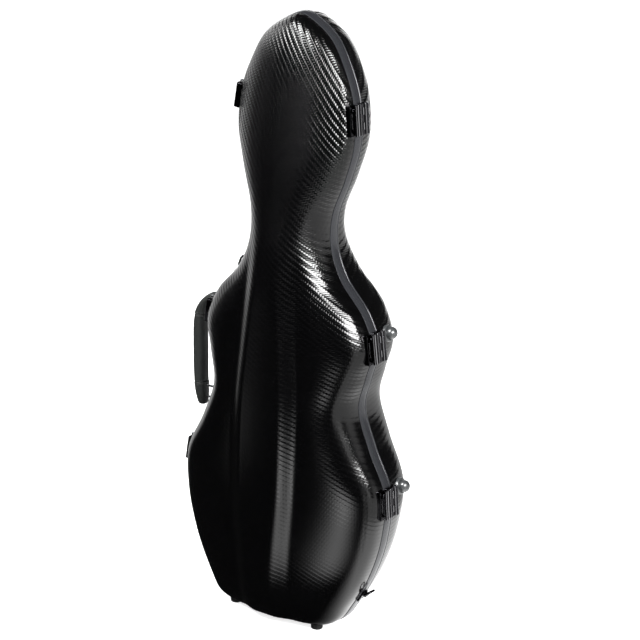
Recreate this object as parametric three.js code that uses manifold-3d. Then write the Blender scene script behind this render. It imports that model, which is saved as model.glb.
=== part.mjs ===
// A hard case with the outline of a cello, made for a violin: two moulded shells on a straight hinge
// line, three latches, a carrying handle, strap rings, bumpers, feet and a padded interior.
// Millimetres, +Z up. The case stands on its feet, with the lid towards -Y and the hinges at -X.
import * as THREE from "three";
import { mergeVertices } from "three/addons/utils/BufferGeometryUtils.js";
import Module from "manifold-3d";

const wasm = await Module();
wasm.setup();

// Driving dimensions of the shells
const HEIGHT = 782;
const WIDTH = 294;
const LID_DEPTH = 58;
const BASE_DEPTH = 84;
const WALL = 2.6;
const FLOOR_CLEARANCE = 4;
const SEAM_GAP = 0.5;
const GAP = 0.3;
const SOFT_GAP = 0.6;
const OVERRUN = 60;

// The raised spine down the middle of the lid
const SPINE_RISE = 10;
const SPINE_RAMP = 10;
const SPINE_FADE = { fullShare: 0.55, goneShare: 0.72 };

// How squarely each shell turns from its face to its wall: a higher power is a tighter turn
const LID_TURN_POWER = 4.5;
const BASE_TURN_POWER = 4;
// How far the walls lean in by the depth of the face
const LID_DRAFT = 9;
const BASE_DRAFT = 3;
// How much of that is missing where the wall faces the ground
const BOTTOM_EASE_SHARE = 0.6;

// Half outline of the shells: [share of half the width, share of the height], bottom to top
const OUTLINE_SHARES = [
  [0, 0], [0.4, 0.001], [0.6, 0.0115], [0.725, 0.0445], [0.885, 0.104], [0.99, 0.174], [1, 0.251],
  [0.824, 0.321], [0.705, 0.385], [0.762, 0.436], [0.823, 0.487], [0.714, 0.538], [0.476, 0.59],
  [0.367, 0.641], [0.374, 0.692], [0.483, 0.749], [0.565, 0.813], [0.537, 0.877], [0.435, 0.928],
  [0.305, 0.967], [0.122, 0.992], [0, 1],
];
// Between these heights a section of the case runs straight across to the middle line
const MIDDLE = { lowShare: 0.11, highShare: 0.89 };

// Lid section: [share of height, face depth and fold depth as shares of LID_DEPTH,
// face half width and spine half width as shares of half the width]
const LID_SHARES = [
  [0, 0.84, 0.6, 0.78, 0.17], [0.12, 0.94, 0.66, 0.88, 0.21], [0.24, 1, 0.68, 0.94, 0.26],
  [0.38, 1, 0.76, 0.76, 0.26], [0.49, 0.95, 0.6, 0.8, 0.22], [0.58, 0.92, 0.62, 0.54, 0.18],
  [0.66, 0.9, 0.6, 0.38, 0.16], [0.79, 0.74, 0.45, 0.5, 0.16], [0.89, 0.62, 0.38, 0.46, 0.16],
  [1, 0.48, 0.34, 0.4, 0.16],
];
const LID_COLUMNS = { face: 1, fold: 2, faceHalfWidth: 3, spineHalfWidth: 4 };
// Base depth: [share of height, share of BASE_DEPTH]
const BASE_SHARES = [
  [0, 0.62], [0.12, 0.84], [0.25, 1.04], [0.34, 1.06], [0.42, 1.02], [0.5, 1.04], [0.55, 1.02], [0.6, 0.86],
  [0.67, 0.63], [0.74, 0.65], [0.82, 0.745], [0.9, 0.76], [1, 0.75],
];
const BASE_COLUMN = 1;

// How finely the shells are drawn
const HALF_STEPS = 30;
const LID_RING_SHARES = [0.42, 0.74, 0.9, 0.965, 0.992, 0.9995, 1];
const BASE_RING_SHARES = [0, 0.4, 0.7, 0.86, 0.94, 0.98, 0.996, 0.9996, 1];
const CREASE_LIMIT = { innerShare: 0.8, outerShare: 0.87, reachShare: 0.25 };

// Rim band on the base, the channel in the lid that takes its tongue, and the seal in the channel
const BAND = {
  depth: 16, proud: 1.5, flange: 2.4, reach: 9.5, tongueTall: 2, tongueThick: 2.4, tongueIn: 5.9,
};
const CHANNEL = { leg: 1.2, clearance: 0.5, web: 2.1, sealTall: 2.3, sealRoom: 0.3, room: 1.6 };

// Lining and foam
const LINING = 8;
const FOAM_SPLIT_SHARE = 0.52;
const BODY_WELL = { bottomShare: 0.0409, lengthShare: 0.468, width: 222, depth: 35 };
// Half outline of the body well: [share of half its width, share of its length]
const BODY_WELL_SHARES = [
  [0, 0], [0.52, 0.012], [0.88, 0.09], [1, 0.21], [0.9, 0.34], [0.62, 0.43], [0.55, 0.52], [0.62, 0.61],
  [0.79, 0.69], [0.83, 0.8], [0.71, 0.91], [0.4, 0.985], [0, 1],
];
const BODY_WELL_HALF_STEPS = 22;
const NECK_WELL = { width: 46, depth: 28, overlap: 8 };
const SCROLL_WELL = { bottomShare: 0.711, topShare: 0.8133, width: 70, depth: 38, round: 14 };
const ACCESSORY_WELL = { bottomShare: 0.8338, topShare: 0.9284, width: 100, depth: 42, round: 12 };
const ACCESSORY_COVER = { thick: 4, ledge: 4, round: 12 };
const PULL = { width: 12, thick: 1.4, out: 11, spread: 15 };
const NECK_BLOCK = { bottomShare: 0.5806, tall: 24, notch: 13, top: 4.5 };
const STRAP = { width: 22, thick: 1.6, span: 88, rise: 5, archShare: 0.333, flatShare: 0.75 };

// Bow fittings in the lid
const BOW = { spacing: 40, clipShare: 0.1432, sleeveShare: 0.8542 };
const CLIP = { baseRadius: 11, base: 4, postRadius: 3, stand: 13, capRadius: 5.5, cap: 2 };
const BUTTON = { length: 34, width: 10, thick: 4, bore: 3.4, corner: 4.5 };
const SLEEVE = { width: 26, tall: 14, length: 52, wall: 2 };

// Hinges: leaves on lid and band, a knuckle barrel on the seam
const HINGE = {
  length: 32, barrelRadius: 2.8, boreRadius: 1.55, pinRadius: 1.2, axisOut: 4.9, leafOut: 3.5, leafWide: 11,
  leafStart: 2.8, sink: 4,
};
const KNUCKLE_COUNT = 3;

// Latches: strike on the lid, plate with knuckles on the base, hooked lever between them
const LATCH = {
  length: 38, plateOut: 3.4, plateStart: 1.6, pivotBack: 18, pivotOut: 5.4, barrelRadius: 2.5,
  boreRadius: 1.4, pinRadius: 1.1, knuckle: 7,
  leverOut: 4.7, leverThick: 1.9, leverFront: 7.4, clawDepth: 1.5, clawThick: 2,
  strikeStart: 1.4, strikeBack: 13, strikeOut: 2.1, ridgeOut: 4.2, ridgeBack: 3, ridgeThick: 1.9,
  ridgeLength: 28, ribBacks: [0, 6.5], ribThick: 1.4, ribProud: 0.9, sink: 4, screwRadius: 1.7,
  screwProud: 0.8, screwBack: 9.5,
};
const LATCH_HEIGHT_SHARES = [["lower", 0.238], ["middle", 0.491], ["upper", 0.849]];

// Handle over the waist at the hinge side
const HANDLE_HEIGHT_SHARE = 0.407;
const HANDLE = {
  length: 155, wide: 21, thick: 13, out: 34, upperOut: 9, lowerOut: 22, back: 24, endWide: 9, endThick: 7,
  linkInset: 18.5, linkLength: 15, linkRadius: 1.3, linkCorner: 4, eyeOut: 6.2,
};
const LINK_SPAN = HANDLE.length - 2 * HANDLE.linkInset;
const GRIP_ARCH_POWER = 4;
const GRIP_TAPER_POWER = 6;
const EYE = {
  length: 9, radius: 3.3, boreRadius: 1.8, postRadius: 3.2, flangeRadius: 6.8, flangeOut: 2.2, sink: 8,
};

// Strap rings
const STRAP_RING = {
  plateLong: 16, plateWide: 11, plateOut: 3.4, plateRound: 1.5, sink: 6, lugWide: 6, lugRadius: 2.9,
  axisOut: 4.8, back: 8, tunnelRadius: 1.6, wire: 1.15, inside: 8, long: 12.5, corner: 2.6,
};
const STRAP_RING_TILT_DEGREES = 24;
const SHOULDER_RING_SHARE = 0.565;
const LOWER_RING_SHARE = 0.062;

// Bumpers on the base wall and feet under the case
const BUMPER = { radius: 8, flangeRadius: 10.5, flangeOut: 3, out: 12.5, back: 38, sink: 14 };
const BUMPER_HEIGHT_SHARES = [["middle", 0.503], ["lower", 0.252]];
const FOOT = { radius: 7.5, topRadius: 9, across: 64, lidBack: 16, baseBack: 28, tall: 26 };

// How finely round and searched things are drawn
const WIRE_SIDES = 6;
const SCREW_SIDES = 8;
const BAR_SIDES = 10;
const GRIP_SIDES = 12;
const FLANGE_SIDES = 14;
const BUMPER_SIDES = 16;
const NOTCH_SIDES = 20;
const CORNER_STEPS = 4;
const DOME_STEPS = 5;
const PULL_STEPS = 6;
const STRAP_HALF_STEPS = 6;
const LINK_TURN_STEPS = 3;
const SEARCH_STEPS = 600;
const SEARCH_ROUNDS = 40;
const LEAN_ROUNDS = 20;
const CURVE_DIVISIONS = 1200;
const MERGE_DISTANCE = 1e-4;
const HINGE_SEARCH_SHARES = [["lower", 0.1, 0.35], ["middle", 0.42, 0.56], ["upper", 0.74, 0.92]];
const GRIP_STATION_SHARES = [-1, -0.95, -0.86, -0.72, -0.5, -0.18, 0.18, 0.5, 0.72, 0.86, 0.95, 1];

const finish = (color, roughness, metalness) =>
  new THREE.MeshStandardMaterial({ color, roughness, metalness });
const MATERIALS = {
  shell: finish(0x0b0b0c, 0.22, 0),
  band: finish(0x4a4c4f, 0.45, 0.3),
  rubber: finish(0x101010, 0.8, 0),
  lining: finish(0x4a0d16, 0.95, 0),
  foam: finish(0x5a1019, 0.95, 0),
  metal: finish(0x2b2b2d, 0.25, 0.9),
  steel: finish(0xb8b8ba, 0.25, 1),
  leather: finish(0x121312, 0.6, 0),
  bumper: finish(0x161718, 0.2, 0),
};

const clamp = THREE.MathUtils.clamp;
const range = (count) => Array.from({ length: count }, (_, i) => i);
const vec = (x, y, z) => new THREE.Vector3(x, y, z);
const HALF_WIDTH = WIDTH / 2;
const heightAt = (share) => FLOOR_CLEARANCE + HEIGHT * share;
const MIDDLE_LOW = heightAt(MIDDLE.lowShare);
const MIDDLE_HIGH = heightAt(MIDDLE.highShare);

// Reads column of a table of shares at a height share, on a smooth curve through its rows
function along(table, share, column) {
  const last = table.length - 1;
  const at = clamp(share, table[0][0], table[last][0]);
  const i = clamp(table.findIndex((row) => row[0] > at) - 1, 0, last - 1);
  const k = table.some((row) => row[0] > at) ? i : last - 1;
  const slope = (j) => {
    const a = table[Math.max(j - 1, 0)];
    const b = table[Math.min(j + 1, last)];
    return (b[column] - a[column]) / (b[0] - a[0]);
  };
  const [low, high] = [table[k], table[k + 1]];
  const span = high[0] - low[0];
  const t = (at - low[0]) / span;
  const ease = t * t * (3 - 2 * t);
  const rise = slope(k) * span * t * (1 - t) * (1 - t);
  const fall = slope(k + 1) * span * t * t * (1 - t);
  return low[column] + (high[column] - low[column]) * ease + rise - fall;
}

// Solids

function solid(geometry) {
  const bare = geometry.clone();
  bare.deleteAttribute("normal");
  bare.deleteAttribute("uv");
  const merged = mergeVertices(bare, MERGE_DISTANCE);
  const index = Array.from(merged.index.array);
  const kept = [];
  for (let i = 0; i < index.length; i += 3) {
    const [a, b, c] = [index[i], index[i + 1], index[i + 2]];
    if (a !== b && b !== c && c !== a) kept.push(a, b, c);
  }
  const vertProperties = new Float32Array(merged.attributes.position.array);
  const facing = (corners) =>
    new wasm.Manifold(new wasm.Mesh({ numProp: 3, vertProperties, triVerts: new Uint32Array(corners) }));
  const made = facing(kept);
  return made.volume() > 0 ? made : facing(kept.reverse());
}

function geometryOf(shape) {
  const mesh = shape.getMesh();
  const positions = [];
  for (let i = 0; i < mesh.vertProperties.length; i += mesh.numProp)
    positions.push(mesh.vertProperties[i], mesh.vertProperties[i + 1], mesh.vertProperties[i + 2]);
  const geometry = new THREE.BufferGeometry();
  geometry.setAttribute("position", new THREE.Float32BufferAttribute(positions, 3));
  geometry.setIndex(Array.from(mesh.triVerts));
  const flat = geometry.toNonIndexed();
  flat.computeVertexNormals();
  return flat;
}

const union = (...shapes) => shapes.reduce((whole, shape) => whole.add(shape));
const cut = (shape, ...tools) => tools.reduce((left, tool) => left.subtract(tool), shape);

// A box between two corners
function block(low, high) {
  const box = new THREE.BoxGeometry(high[0] - low[0], high[1] - low[1], high[2] - low[2]);
  box.translate((high[0] + low[0]) / 2, (high[1] + low[1]) / 2, (high[2] + low[2]) / 2);
  return solid(box);
}

// A round bar between two points
function bar(from, to, radius, sides = BAR_SIDES, endRadius = radius) {
  const way = to.clone().sub(from);
  const cylinder = new THREE.CylinderGeometry(endRadius, radius, way.length(), sides);
  const turn = new THREE.Quaternion().setFromUnitVectors(vec(0, 1, 0), way.clone().normalize());
  cylinder.applyQuaternion(turn);
  cylinder.translate(...from.clone().add(to).multiplyScalar(1 / 2).toArray());
  return solid(cylinder);
}

// A surface through rings of as many points each, closed where its end rings shrink to a line or a point;
// each four-sided patch is split along its shorter diagonal
function loft(rings, closedOnItself = false) {
  const positions = [];
  const count = rings[0].length;
  const steps = closedOnItself ? rings.length : rings.length - 1;
  for (const i of range(steps)) {
    const [ring, next] = [rings[i], rings[(i + 1) % rings.length]];
    for (const j of range(count)) {
      const k = (j + 1) % count;
      const [a, b, c, d] = [ring[j], ring[k], next[k], next[j]];
      if (a.distanceTo(c) < b.distanceTo(d)) positions.push(...a, ...b, ...c, ...a, ...c, ...d);
      else positions.push(...a, ...b, ...d, ...b, ...c, ...d);
    }
  }
  const geometry = new THREE.BufferGeometry();
  geometry.setAttribute("position", new THREE.Float32BufferAttribute(positions, 3));
  return solid(geometry);
}

// An outline in X and Z, extruded from one depth to another along Y
function plate(points, front, back) {
  const shape = new THREE.Shape(points.map(([x, z]) => new THREE.Vector2(x, z)));
  const geometry = new THREE.ExtrudeGeometry(shape, { depth: back - front, bevelEnabled: false });
  geometry.rotateX(Math.PI / 2);
  geometry.translate(0, back, 0);
  return solid(geometry);
}

// A rectangle with round corners, as a list of points
function roundedRectangle(left, right, low, high, radius) {
  const corners = [
    [right - radius, low + radius, -1 / 4],
    [right - radius, high - radius, 0],
    [left + radius, high - radius, 1 / 4],
    [left + radius, low + radius, 1 / 2],
  ];
  return corners.flatMap(([x, z, turn]) =>
    range(CORNER_STEPS + 1).map((i) => {
      const angle = 2 * Math.PI * (turn + i / CORNER_STEPS / 4);
      return [x + radius * Math.cos(angle), z + radius * Math.sin(angle)];
    }),
  );
}

// Outline of the case at the seam

function mirroredCurve(shares, halfWidth, bottom, length) {
  const half = shares.map(([x, z]) => vec(x * halfWidth, 0, bottom + z * length));
  const other = half.slice(1, -1).reverse().map((point) => vec(-point.x, 0, point.z));
  const curve = new THREE.CatmullRomCurve3([...half, ...other], true, "centripetal");
  curve.arcLengthDivisions = CURVE_DIVISIONS;
  return curve;
}

const seamCurve = mirroredCurve(OUTLINE_SHARES, HALF_WIDTH, FLOOR_CLEARANCE, HEIGHT);

// The seam's point and outward normal at a share of the way up the right side
function seamPoint(share) {
  const at = seamCurve.getPoint(share / 2);
  const way = seamCurve.getTangent(share / 2);
  const flat = share === 0 || share === 1;
  const length = Math.hypot(way.x, way.z);
  return {
    x: flat ? 0 : at.x,
    z: at.z,
    nx: flat ? 0 : way.z / length,
    nz: flat ? Math.sign(share - 1 / 2) : -way.x / length,
  };
}

const rightSide = range(HALF_STEPS + 1).map((i) => seamPoint(i / HALF_STEPS));
const leftSide = rightSide.slice(1, -1).reverse().map((p) => ({ x: -p.x, z: p.z, nx: -p.nx, nz: p.nz }));
const seam = [...rightSide, ...leftSide];

// The right side's share of the way whose seam point is at a height
function shareAtHeight(height) {
  let [low, high] = [0, 1];
  for (const _ of range(SEARCH_ROUNDS)) {
    const middle = (low + high) / 2;
    if (seamPoint(middle).z < height) low = middle;
    else high = middle;
  }
  return low;
}

const seamAtHeight = (height) => seamPoint(shareAtHeight(height));

// Shells

const heightShare = (z) => (z - FLOOR_CLEARANCE) / HEIGHT;

function lidDepth(x, z) {
  const share = heightShare(z);
  const face = LID_DEPTH * along(LID_SHARES, share, LID_COLUMNS.face);
  const fold = LID_DEPTH * along(LID_SHARES, share, LID_COLUMNS.fold);
  const faceHalf = HALF_WIDTH * along(LID_SHARES, share, LID_COLUMNS.faceHalfWidth);
  const across = Math.min(1, Math.abs(x) / faceHalf);
  const spine = HALF_WIDTH * along(LID_SHARES, share, LID_COLUMNS.spineHalfWidth);
  const fade = 1 - THREE.MathUtils.smoothstep(share, SPINE_FADE.fullShare, SPINE_FADE.goneShare);
  const ramp = [spine - SPINE_RAMP / 2, spine + SPINE_RAMP / 2];
  const inside = 1 - THREE.MathUtils.smoothstep(Math.abs(x), ...ramp);
  return fold + (face - fold) * (1 - across * across) + SPINE_RISE * fade * inside;
}

const baseDepth = (x, z) => BASE_DEPTH * along(BASE_SHARES, heightShare(z), BASE_COLUMN);

const BAND_BACK = BAND.flange + GAP;
const LID = { side: -1, edge: SEAM_GAP, depth: lidDepth, power: LID_TURN_POWER, draft: LID_DRAFT };
const BASE = { side: 1, edge: BAND_BACK, depth: baseDepth, power: BASE_TURN_POWER, draft: BASE_DRAFT };
BASE.ringShares = () => BASE_RING_SHARES;

// Where the rings of the lid lie on the way from the middle line to seam point p, with two on the crease
LID.ringShares = (p) => {
  const share = heightShare(clamp(p.z, MIDDLE_LOW, MIDDLE_HIGH));
  const spine = HALF_WIDTH * along(LID_SHARES, share, LID_COLUMNS.spineHalfWidth);
  const reach = Math.max(Math.abs(p.x - p.nx * LID_DRAFT), spine * CREASE_LIMIT.reachShare);
  const inner = Math.min(CREASE_LIMIT.innerShare, (spine - SPINE_RAMP / 2) / reach);
  const outer = Math.min(CREASE_LIMIT.outerShare, (spine + SPINE_RAMP / 2) / reach);
  return [0, inner, outer, ...LID_RING_SHARES.map((share) => outer + (1 - outer) * share)];
};

// A shell's outer surface: rings of points from the middle line to the edge, and the normals there
function surface(half) {
  const shares = seam.map((p) => half.ringShares(p));
  const rings = shares[0].map((_, ring) =>
    seam.map((p, i) => {
      const rho = shares[i][ring];
      const turn = (1 - rho ** half.power) ** (1 / half.power);
      const middle = clamp(p.z, MIDDLE_LOW, MIDDLE_HIGH);
      const ease = 1 - BOTTOM_EASE_SHARE * Math.max(0, -p.nz) ** 2;
      const lean = half.draft * ease * turn * turn;
      const [x, z] = [(p.x - p.nx * lean) * rho, middle + (p.z - p.nz * lean - middle) * rho];
      return vec(x, half.side * (half.edge + (half.depth(x, z) - half.edge) * turn), z);
    }),
  );
  const last = rings.length - 1;
  const normals = rings.map((ring, r) =>
    ring.map((_, i) => {
      if (r === 0) return vec(0, half.side, 0);
      if (r === last) return vec(seam[i].nx, 0, seam[i].nz);
      const way = ring[(i + 1) % ring.length].clone().sub(ring[(i + ring.length - 1) % ring.length]);
      const out = rings[r + 1][i].clone().sub(rings[r - 1][i]);
      return way.cross(out).multiplyScalar(half.side).normalize();
    }),
  );
  return { rings, normals };
}
for (const half of [LID, BASE]) Object.assign(half, surface(half));

// The rings of one skin of a shell, inset from its outer surface; a skin on the inside has fewer
function skinRings(half, inset) {
  const last = half.rings.length - 1;
  const isKept = (r) => inset <= 0 || r <= 2 || r % 2 === 0 || r >= last - 1;
  return half.rings
    .map((ring, r) => ring.map((point, i) => point.clone().addScaledVector(half.normals[r][i], -inset)))
    .filter((_, r) => isKept(r));
}

// A shell between two insets
const shell = (half, outer, inner) =>
  loft([...skinRings(half, outer), ...skinRings(half, inner).reverse()]);

// Everything inside one inset of a shell, closed by a flat face at its edge
function filled(half, inset) {
  const rings = skinRings(half, inset);
  const edge = rings[rings.length - 1];
  const middle = rings[0].map((point, i) => vec(point.x, edge[i].y, point.z));
  return loft([...rings, middle]);
}

// A profile of [distance out from the seam, y] swept once round the case
const swept = (profile) =>
  loft(
    profile.map(([out, y]) => seam.map((p) => vec(p.x + p.nx * out, y, p.z + p.nz * out))),
    true,
  );

const everywhere = (front, back) =>
  block([-WIDTH, front, -OVERRUN], [WIDTH, back, HEIGHT + OVERRUN]);

const caseGroup = new THREE.Group();

function add(group, name, shape, material) {
  const mesh = new THREE.Mesh(geometryOf(shape), material);
  mesh.name = name;
  group.add(mesh);
  return mesh;
}

add(caseGroup, "lid_shell", shell(LID, 0, WALL), MATERIALS.shell);
add(caseGroup, "base_shell", shell(BASE, 0, WALL), MATERIALS.shell);

// Rim band: a skin outside the base shell, a flange over its edge and a tongue that enters the lid
const tongueInner = -BAND.tongueIn - BAND.tongueThick;
add(
  caseGroup,
  "base_rim",
  swept([
    [GAP, BAND.depth], [BAND.proud, BAND.depth], [BAND.proud, 0], [-BAND.tongueIn, 0],
    [-BAND.tongueIn, -BAND.tongueTall], [tongueInner, -BAND.tongueTall], [tongueInner, 0], [-BAND.reach, 0],
    [-BAND.reach, BAND.flange], [GAP, BAND.flange],
  ]),
  MATERIALS.band,
);

// Channel inside the lid's edge, open towards the tongue, with the seal at its bottom
const channelOuter = -WALL - CHANNEL.room;
const grooveOuter = channelOuter - CHANNEL.leg;
const grooveInner = tongueInner - CHANNEL.clearance;
const channelInner = grooveInner - CHANNEL.leg;
const sealFront = -BAND.tongueTall - CHANNEL.sealRoom;
const grooveFloor = sealFront - CHANNEL.sealTall - CHANNEL.sealRoom;
const channelBack = grooveFloor - CHANNEL.web;
add(
  caseGroup,
  "lid_rim",
  swept([
    [channelOuter, -SEAM_GAP], [grooveOuter, -SEAM_GAP], [grooveOuter, grooveFloor],
    [grooveInner, grooveFloor], [grooveInner, -SEAM_GAP], [channelInner, -SEAM_GAP],
    [channelInner, channelBack], [channelOuter, channelBack],
  ]),
  MATERIALS.rubber,
);
add(
  caseGroup,
  "lid_seal",
  swept([
    [grooveOuter - GAP, sealFront], [grooveInner + GAP, sealFront],
    [grooveInner + GAP, sealFront - CHANNEL.sealTall], [grooveOuter - GAP, sealFront - CHANNEL.sealTall],
  ]),
  MATERIALS.rubber,
);

// Padded lining of the lid, below its rim channel
const liningOuter = WALL + SOFT_GAP;
const liningFront = channelBack - GAP;
const lidRoom = cut(filled(LID, liningOuter), shell(LID, 0, WALL + GAP), everywhere(liningFront, OVERRUN));
add(caseGroup, "lid_lining", cut(lidRoom, filled(LID, liningOuter + LINING)), MATERIALS.lining);

// Foam that fills the base up to the band's flange, with wells for the instrument and its accessories
const foamTop = BAND.flange + GAP + GAP;
const wellMouth = foamTop - OVERRUN;
const bodyWellCurve = mirroredCurve(
  BODY_WELL_SHARES,
  BODY_WELL.width / 2,
  heightAt(BODY_WELL.bottomShare),
  HEIGHT * BODY_WELL.lengthShare,
);
const bodyWellPoints = bodyWellCurve.getSpacedPoints(2 * BODY_WELL_HALF_STEPS).slice(1);
const bodyWell = plate(bodyWellPoints.map((p) => [p.x, p.z]), wellMouth, foamTop + BODY_WELL.depth);
const bodyWellTop = heightAt(BODY_WELL.bottomShare + BODY_WELL.lengthShare);
const neckWell = block(
  [-NECK_WELL.width / 2, wellMouth, bodyWellTop - NECK_WELL.overlap],
  [NECK_WELL.width / 2, foamTop + NECK_WELL.depth, heightAt(SCROLL_WELL.bottomShare) + NECK_WELL.overlap],
);
const well = (w) =>
  plate(
    roundedRectangle(-w.width / 2, w.width / 2, heightAt(w.bottomShare), heightAt(w.topShare), w.round),
    wellMouth,
    foamTop + w.depth,
  );
const coverOutline = (room) =>
  roundedRectangle(
    -ACCESSORY_WELL.width / 2 - ACCESSORY_COVER.ledge - room,
    ACCESSORY_WELL.width / 2 + ACCESSORY_COVER.ledge + room,
    heightAt(ACCESSORY_WELL.bottomShare) - ACCESSORY_COVER.ledge - room,
    heightAt(ACCESSORY_WELL.topShare) + ACCESSORY_COVER.ledge + room,
    ACCESSORY_COVER.round + room,
  );
const coverRecess = plate(coverOutline(SOFT_GAP), wellMouth, foamTop + ACCESSORY_COVER.thick);
const foam = cut(filled(BASE, liningOuter), everywhere(-OVERRUN, foamTop));
const foamWithWells = cut(foam, bodyWell, neckWell, well(SCROLL_WELL), well(ACCESSORY_WELL), coverRecess);
const foamSplit = heightAt(FOAM_SPLIT_SHARE);
const farAway = HEIGHT + WIDTH;
const aboveSplit = block([-farAway, -farAway, foamSplit - SOFT_GAP / 2], [farAway, farAway, farAway]);
const belowSplit = block([-farAway, -farAway, -farAway], [farAway, farAway, foamSplit + SOFT_GAP / 2]);
add(caseGroup, "base_foam_body", cut(foamWithWells, aboveSplit), MATERIALS.foam);
add(caseGroup, "base_foam_neck", cut(foamWithWells, belowSplit), MATERIALS.foam);

// Lift-out cover of the accessory well, with a ribbon pull
const coverBack = foamTop + ACCESSORY_COVER.thick - SOFT_GAP;
add(caseGroup, "accessory_cover", plate(coverOutline(0), foamTop, coverBack), MATERIALS.lining);
const pullHeight = heightAt((ACCESSORY_WELL.bottomShare + ACCESSORY_WELL.topShare) / 2);
const pullEnd = foamTop - GAP;
const pullArc = (inset) =>
  range(PULL_STEPS + 1).map((i) => {
    const angle = (Math.PI * i) / PULL_STEPS;
    const [reach, rise] = [PULL.spread - inset, PULL.out - inset];
    return new THREE.Vector2(-Math.cos(angle) * reach, pullEnd - Math.sin(angle) * rise);
  });
const ribbon = (front, back, low, width) => {
  const shape = new THREE.Shape([...front, ...back.reverse()]);
  const geometry = new THREE.ExtrudeGeometry(shape, { depth: width, bevelEnabled: false });
  return solid(geometry.translate(0, 0, low));
};
add(
  caseGroup,
  "accessory_cover_pull",
  ribbon(pullArc(0), pullArc(PULL.thick), pullHeight - PULL.width / 2, PULL.width),
  MATERIALS.lining,
);

// Notched block under the instrument's neck, and the strap over it
const neckFloor = foamTop + NECK_WELL.depth - SOFT_GAP;
const neckBlockHalf = NECK_WELL.width / 2 - SOFT_GAP;
const neckBlockTop = foamTop + NECK_BLOCK.top;
const neckBlockLow = heightAt(NECK_BLOCK.bottomShare);
const neckBlockHigh = neckBlockLow + NECK_BLOCK.tall;
const notch = bar(
  vec(0, neckBlockTop, neckBlockLow - GAP),
  vec(0, neckBlockTop, neckBlockHigh + GAP),
  NECK_BLOCK.notch,
  NOTCH_SIDES,
);
add(
  caseGroup,
  "neck_block",
  cut(
    block([-neckBlockHalf, neckBlockTop, neckBlockLow], [neckBlockHalf, neckFloor, neckBlockHigh]),
    notch,
  ),
  MATERIALS.lining,
);
const strapLine = (offset) =>
  range(2 * STRAP_HALF_STEPS + 1).map((i) => {
    const across = i / STRAP_HALF_STEPS - 1;
    const fall = THREE.MathUtils.smoothstep(Math.abs(across), STRAP.archShare, STRAP.flatShare);
    const lift = STRAP.rise * (1 - fall);
    return new THREE.Vector2((across * STRAP.span) / 2, foamTop - GAP - lift - offset);
  });
const strapLow = (neckBlockLow + neckBlockHigh - STRAP.width) / 2;
add(
  caseGroup,
  "neck_strap",
  ribbon(strapLine(0), strapLine(STRAP.thick), strapLow, STRAP.width),
  MATERIALS.lining,
);

// Bow clips with turning buttons, and sleeves for the bow tips, on the lid's lining
const linedRoom = filled(LID, liningOuter + LINING + GAP);
const liningY = (x, z) => -(lidDepth(x, z) - liningOuter - LINING);
for (const [side, sign] of [["left", -1], ["right", 1]]) {
  const x = (sign * BOW.spacing) / 2;
  const z = heightAt(BOW.clipShare);
  const floor = liningY(x, z);
  const shoulder = floor + CLIP.base + CLIP.stand;
  const buttonBack = shoulder + GAP + BUTTON.thick;
  const clipBar = (from, to, radius) => bar(vec(x, from, z), vec(x, to, z), radius, GRIP_SIDES);
  const clip = union(
    clipBar(floor - LINING, floor + CLIP.base, CLIP.baseRadius),
    clipBar(floor, shoulder, CLIP.capRadius),
    clipBar(floor, buttonBack + GAP + CLIP.cap, CLIP.postRadius),
    clipBar(buttonBack + GAP, buttonBack + GAP + CLIP.cap, CLIP.capRadius),
  );
  add(caseGroup, `bow_clip_${side}`, clip.intersect(linedRoom), MATERIALS.rubber);
  const outline = roundedRectangle(
    x - BUTTON.length / 2,
    x + BUTTON.length / 2,
    z - BUTTON.width / 2,
    z + BUTTON.width / 2,
    BUTTON.corner,
  );
  const bore = clipBar(shoulder, buttonBack + GAP, BUTTON.bore);
  const button = cut(plate(outline, shoulder + GAP, buttonBack), bore);
  add(caseGroup, `bow_button_${side}`, button, MATERIALS.rubber);
  const low = heightAt(BOW.sleeveShare);
  const high = low + SLEEVE.length;
  const mouthFloor = liningY(x, high);
  const half = SLEEVE.width / 2;
  const sleeve = block([x - half, mouthFloor - LINING, low], [x + half, mouthFloor + SLEEVE.tall, high]);
  const hollow = block(
    [x - half + SLEEVE.wall, mouthFloor + SLEEVE.wall, low - GAP],
    [x + half - SLEEVE.wall, mouthFloor + SLEEVE.tall - SLEEVE.wall, high - SLEEVE.wall],
  );
  add(caseGroup, `bow_sleeve_${side}`, cut(sleeve, hollow).intersect(linedRoom), MATERIALS.lining);
}

// Fittings on the outside: each is built in a frame whose x points out of the wall and y to the rear,
// and its foot is cut to the wall's own shape, a gap away
const envelope = geometryOf(
  union(
    filled(LID, -GAP),
    filled(BASE, -GAP),
    swept([
      [-BAND.reach, BAND.depth + GAP], [BAND.proud + GAP, BAND.depth + GAP], [BAND.proud + GAP, -GAP],
      [-BAND.reach, -GAP],
    ]),
  ),
);

function fittingGroup(place, out) {
  const group = new THREE.Group();
  const rear = vec(0, 1, 0);
  const basis = new THREE.Matrix4().makeBasis(out, rear, out.clone().cross(rear)).setPosition(place);
  basis.decompose(group.position, group.quaternion, group.scale);
  group.updateMatrix();
  caseGroup.add(group);
  return group;
}

const seated = (group, shape) =>
  cut(shape, solid(envelope.clone().applyMatrix4(group.matrix.clone().invert())));

// The seam point at a height on the right (side 1) or left (side -1), as a place and an outward direction
function wallAt(height, side) {
  const p = seamAtHeight(height);
  return [vec(side * p.x, 0, p.z), vec(side * p.nx, 0, p.nz)];
}

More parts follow.
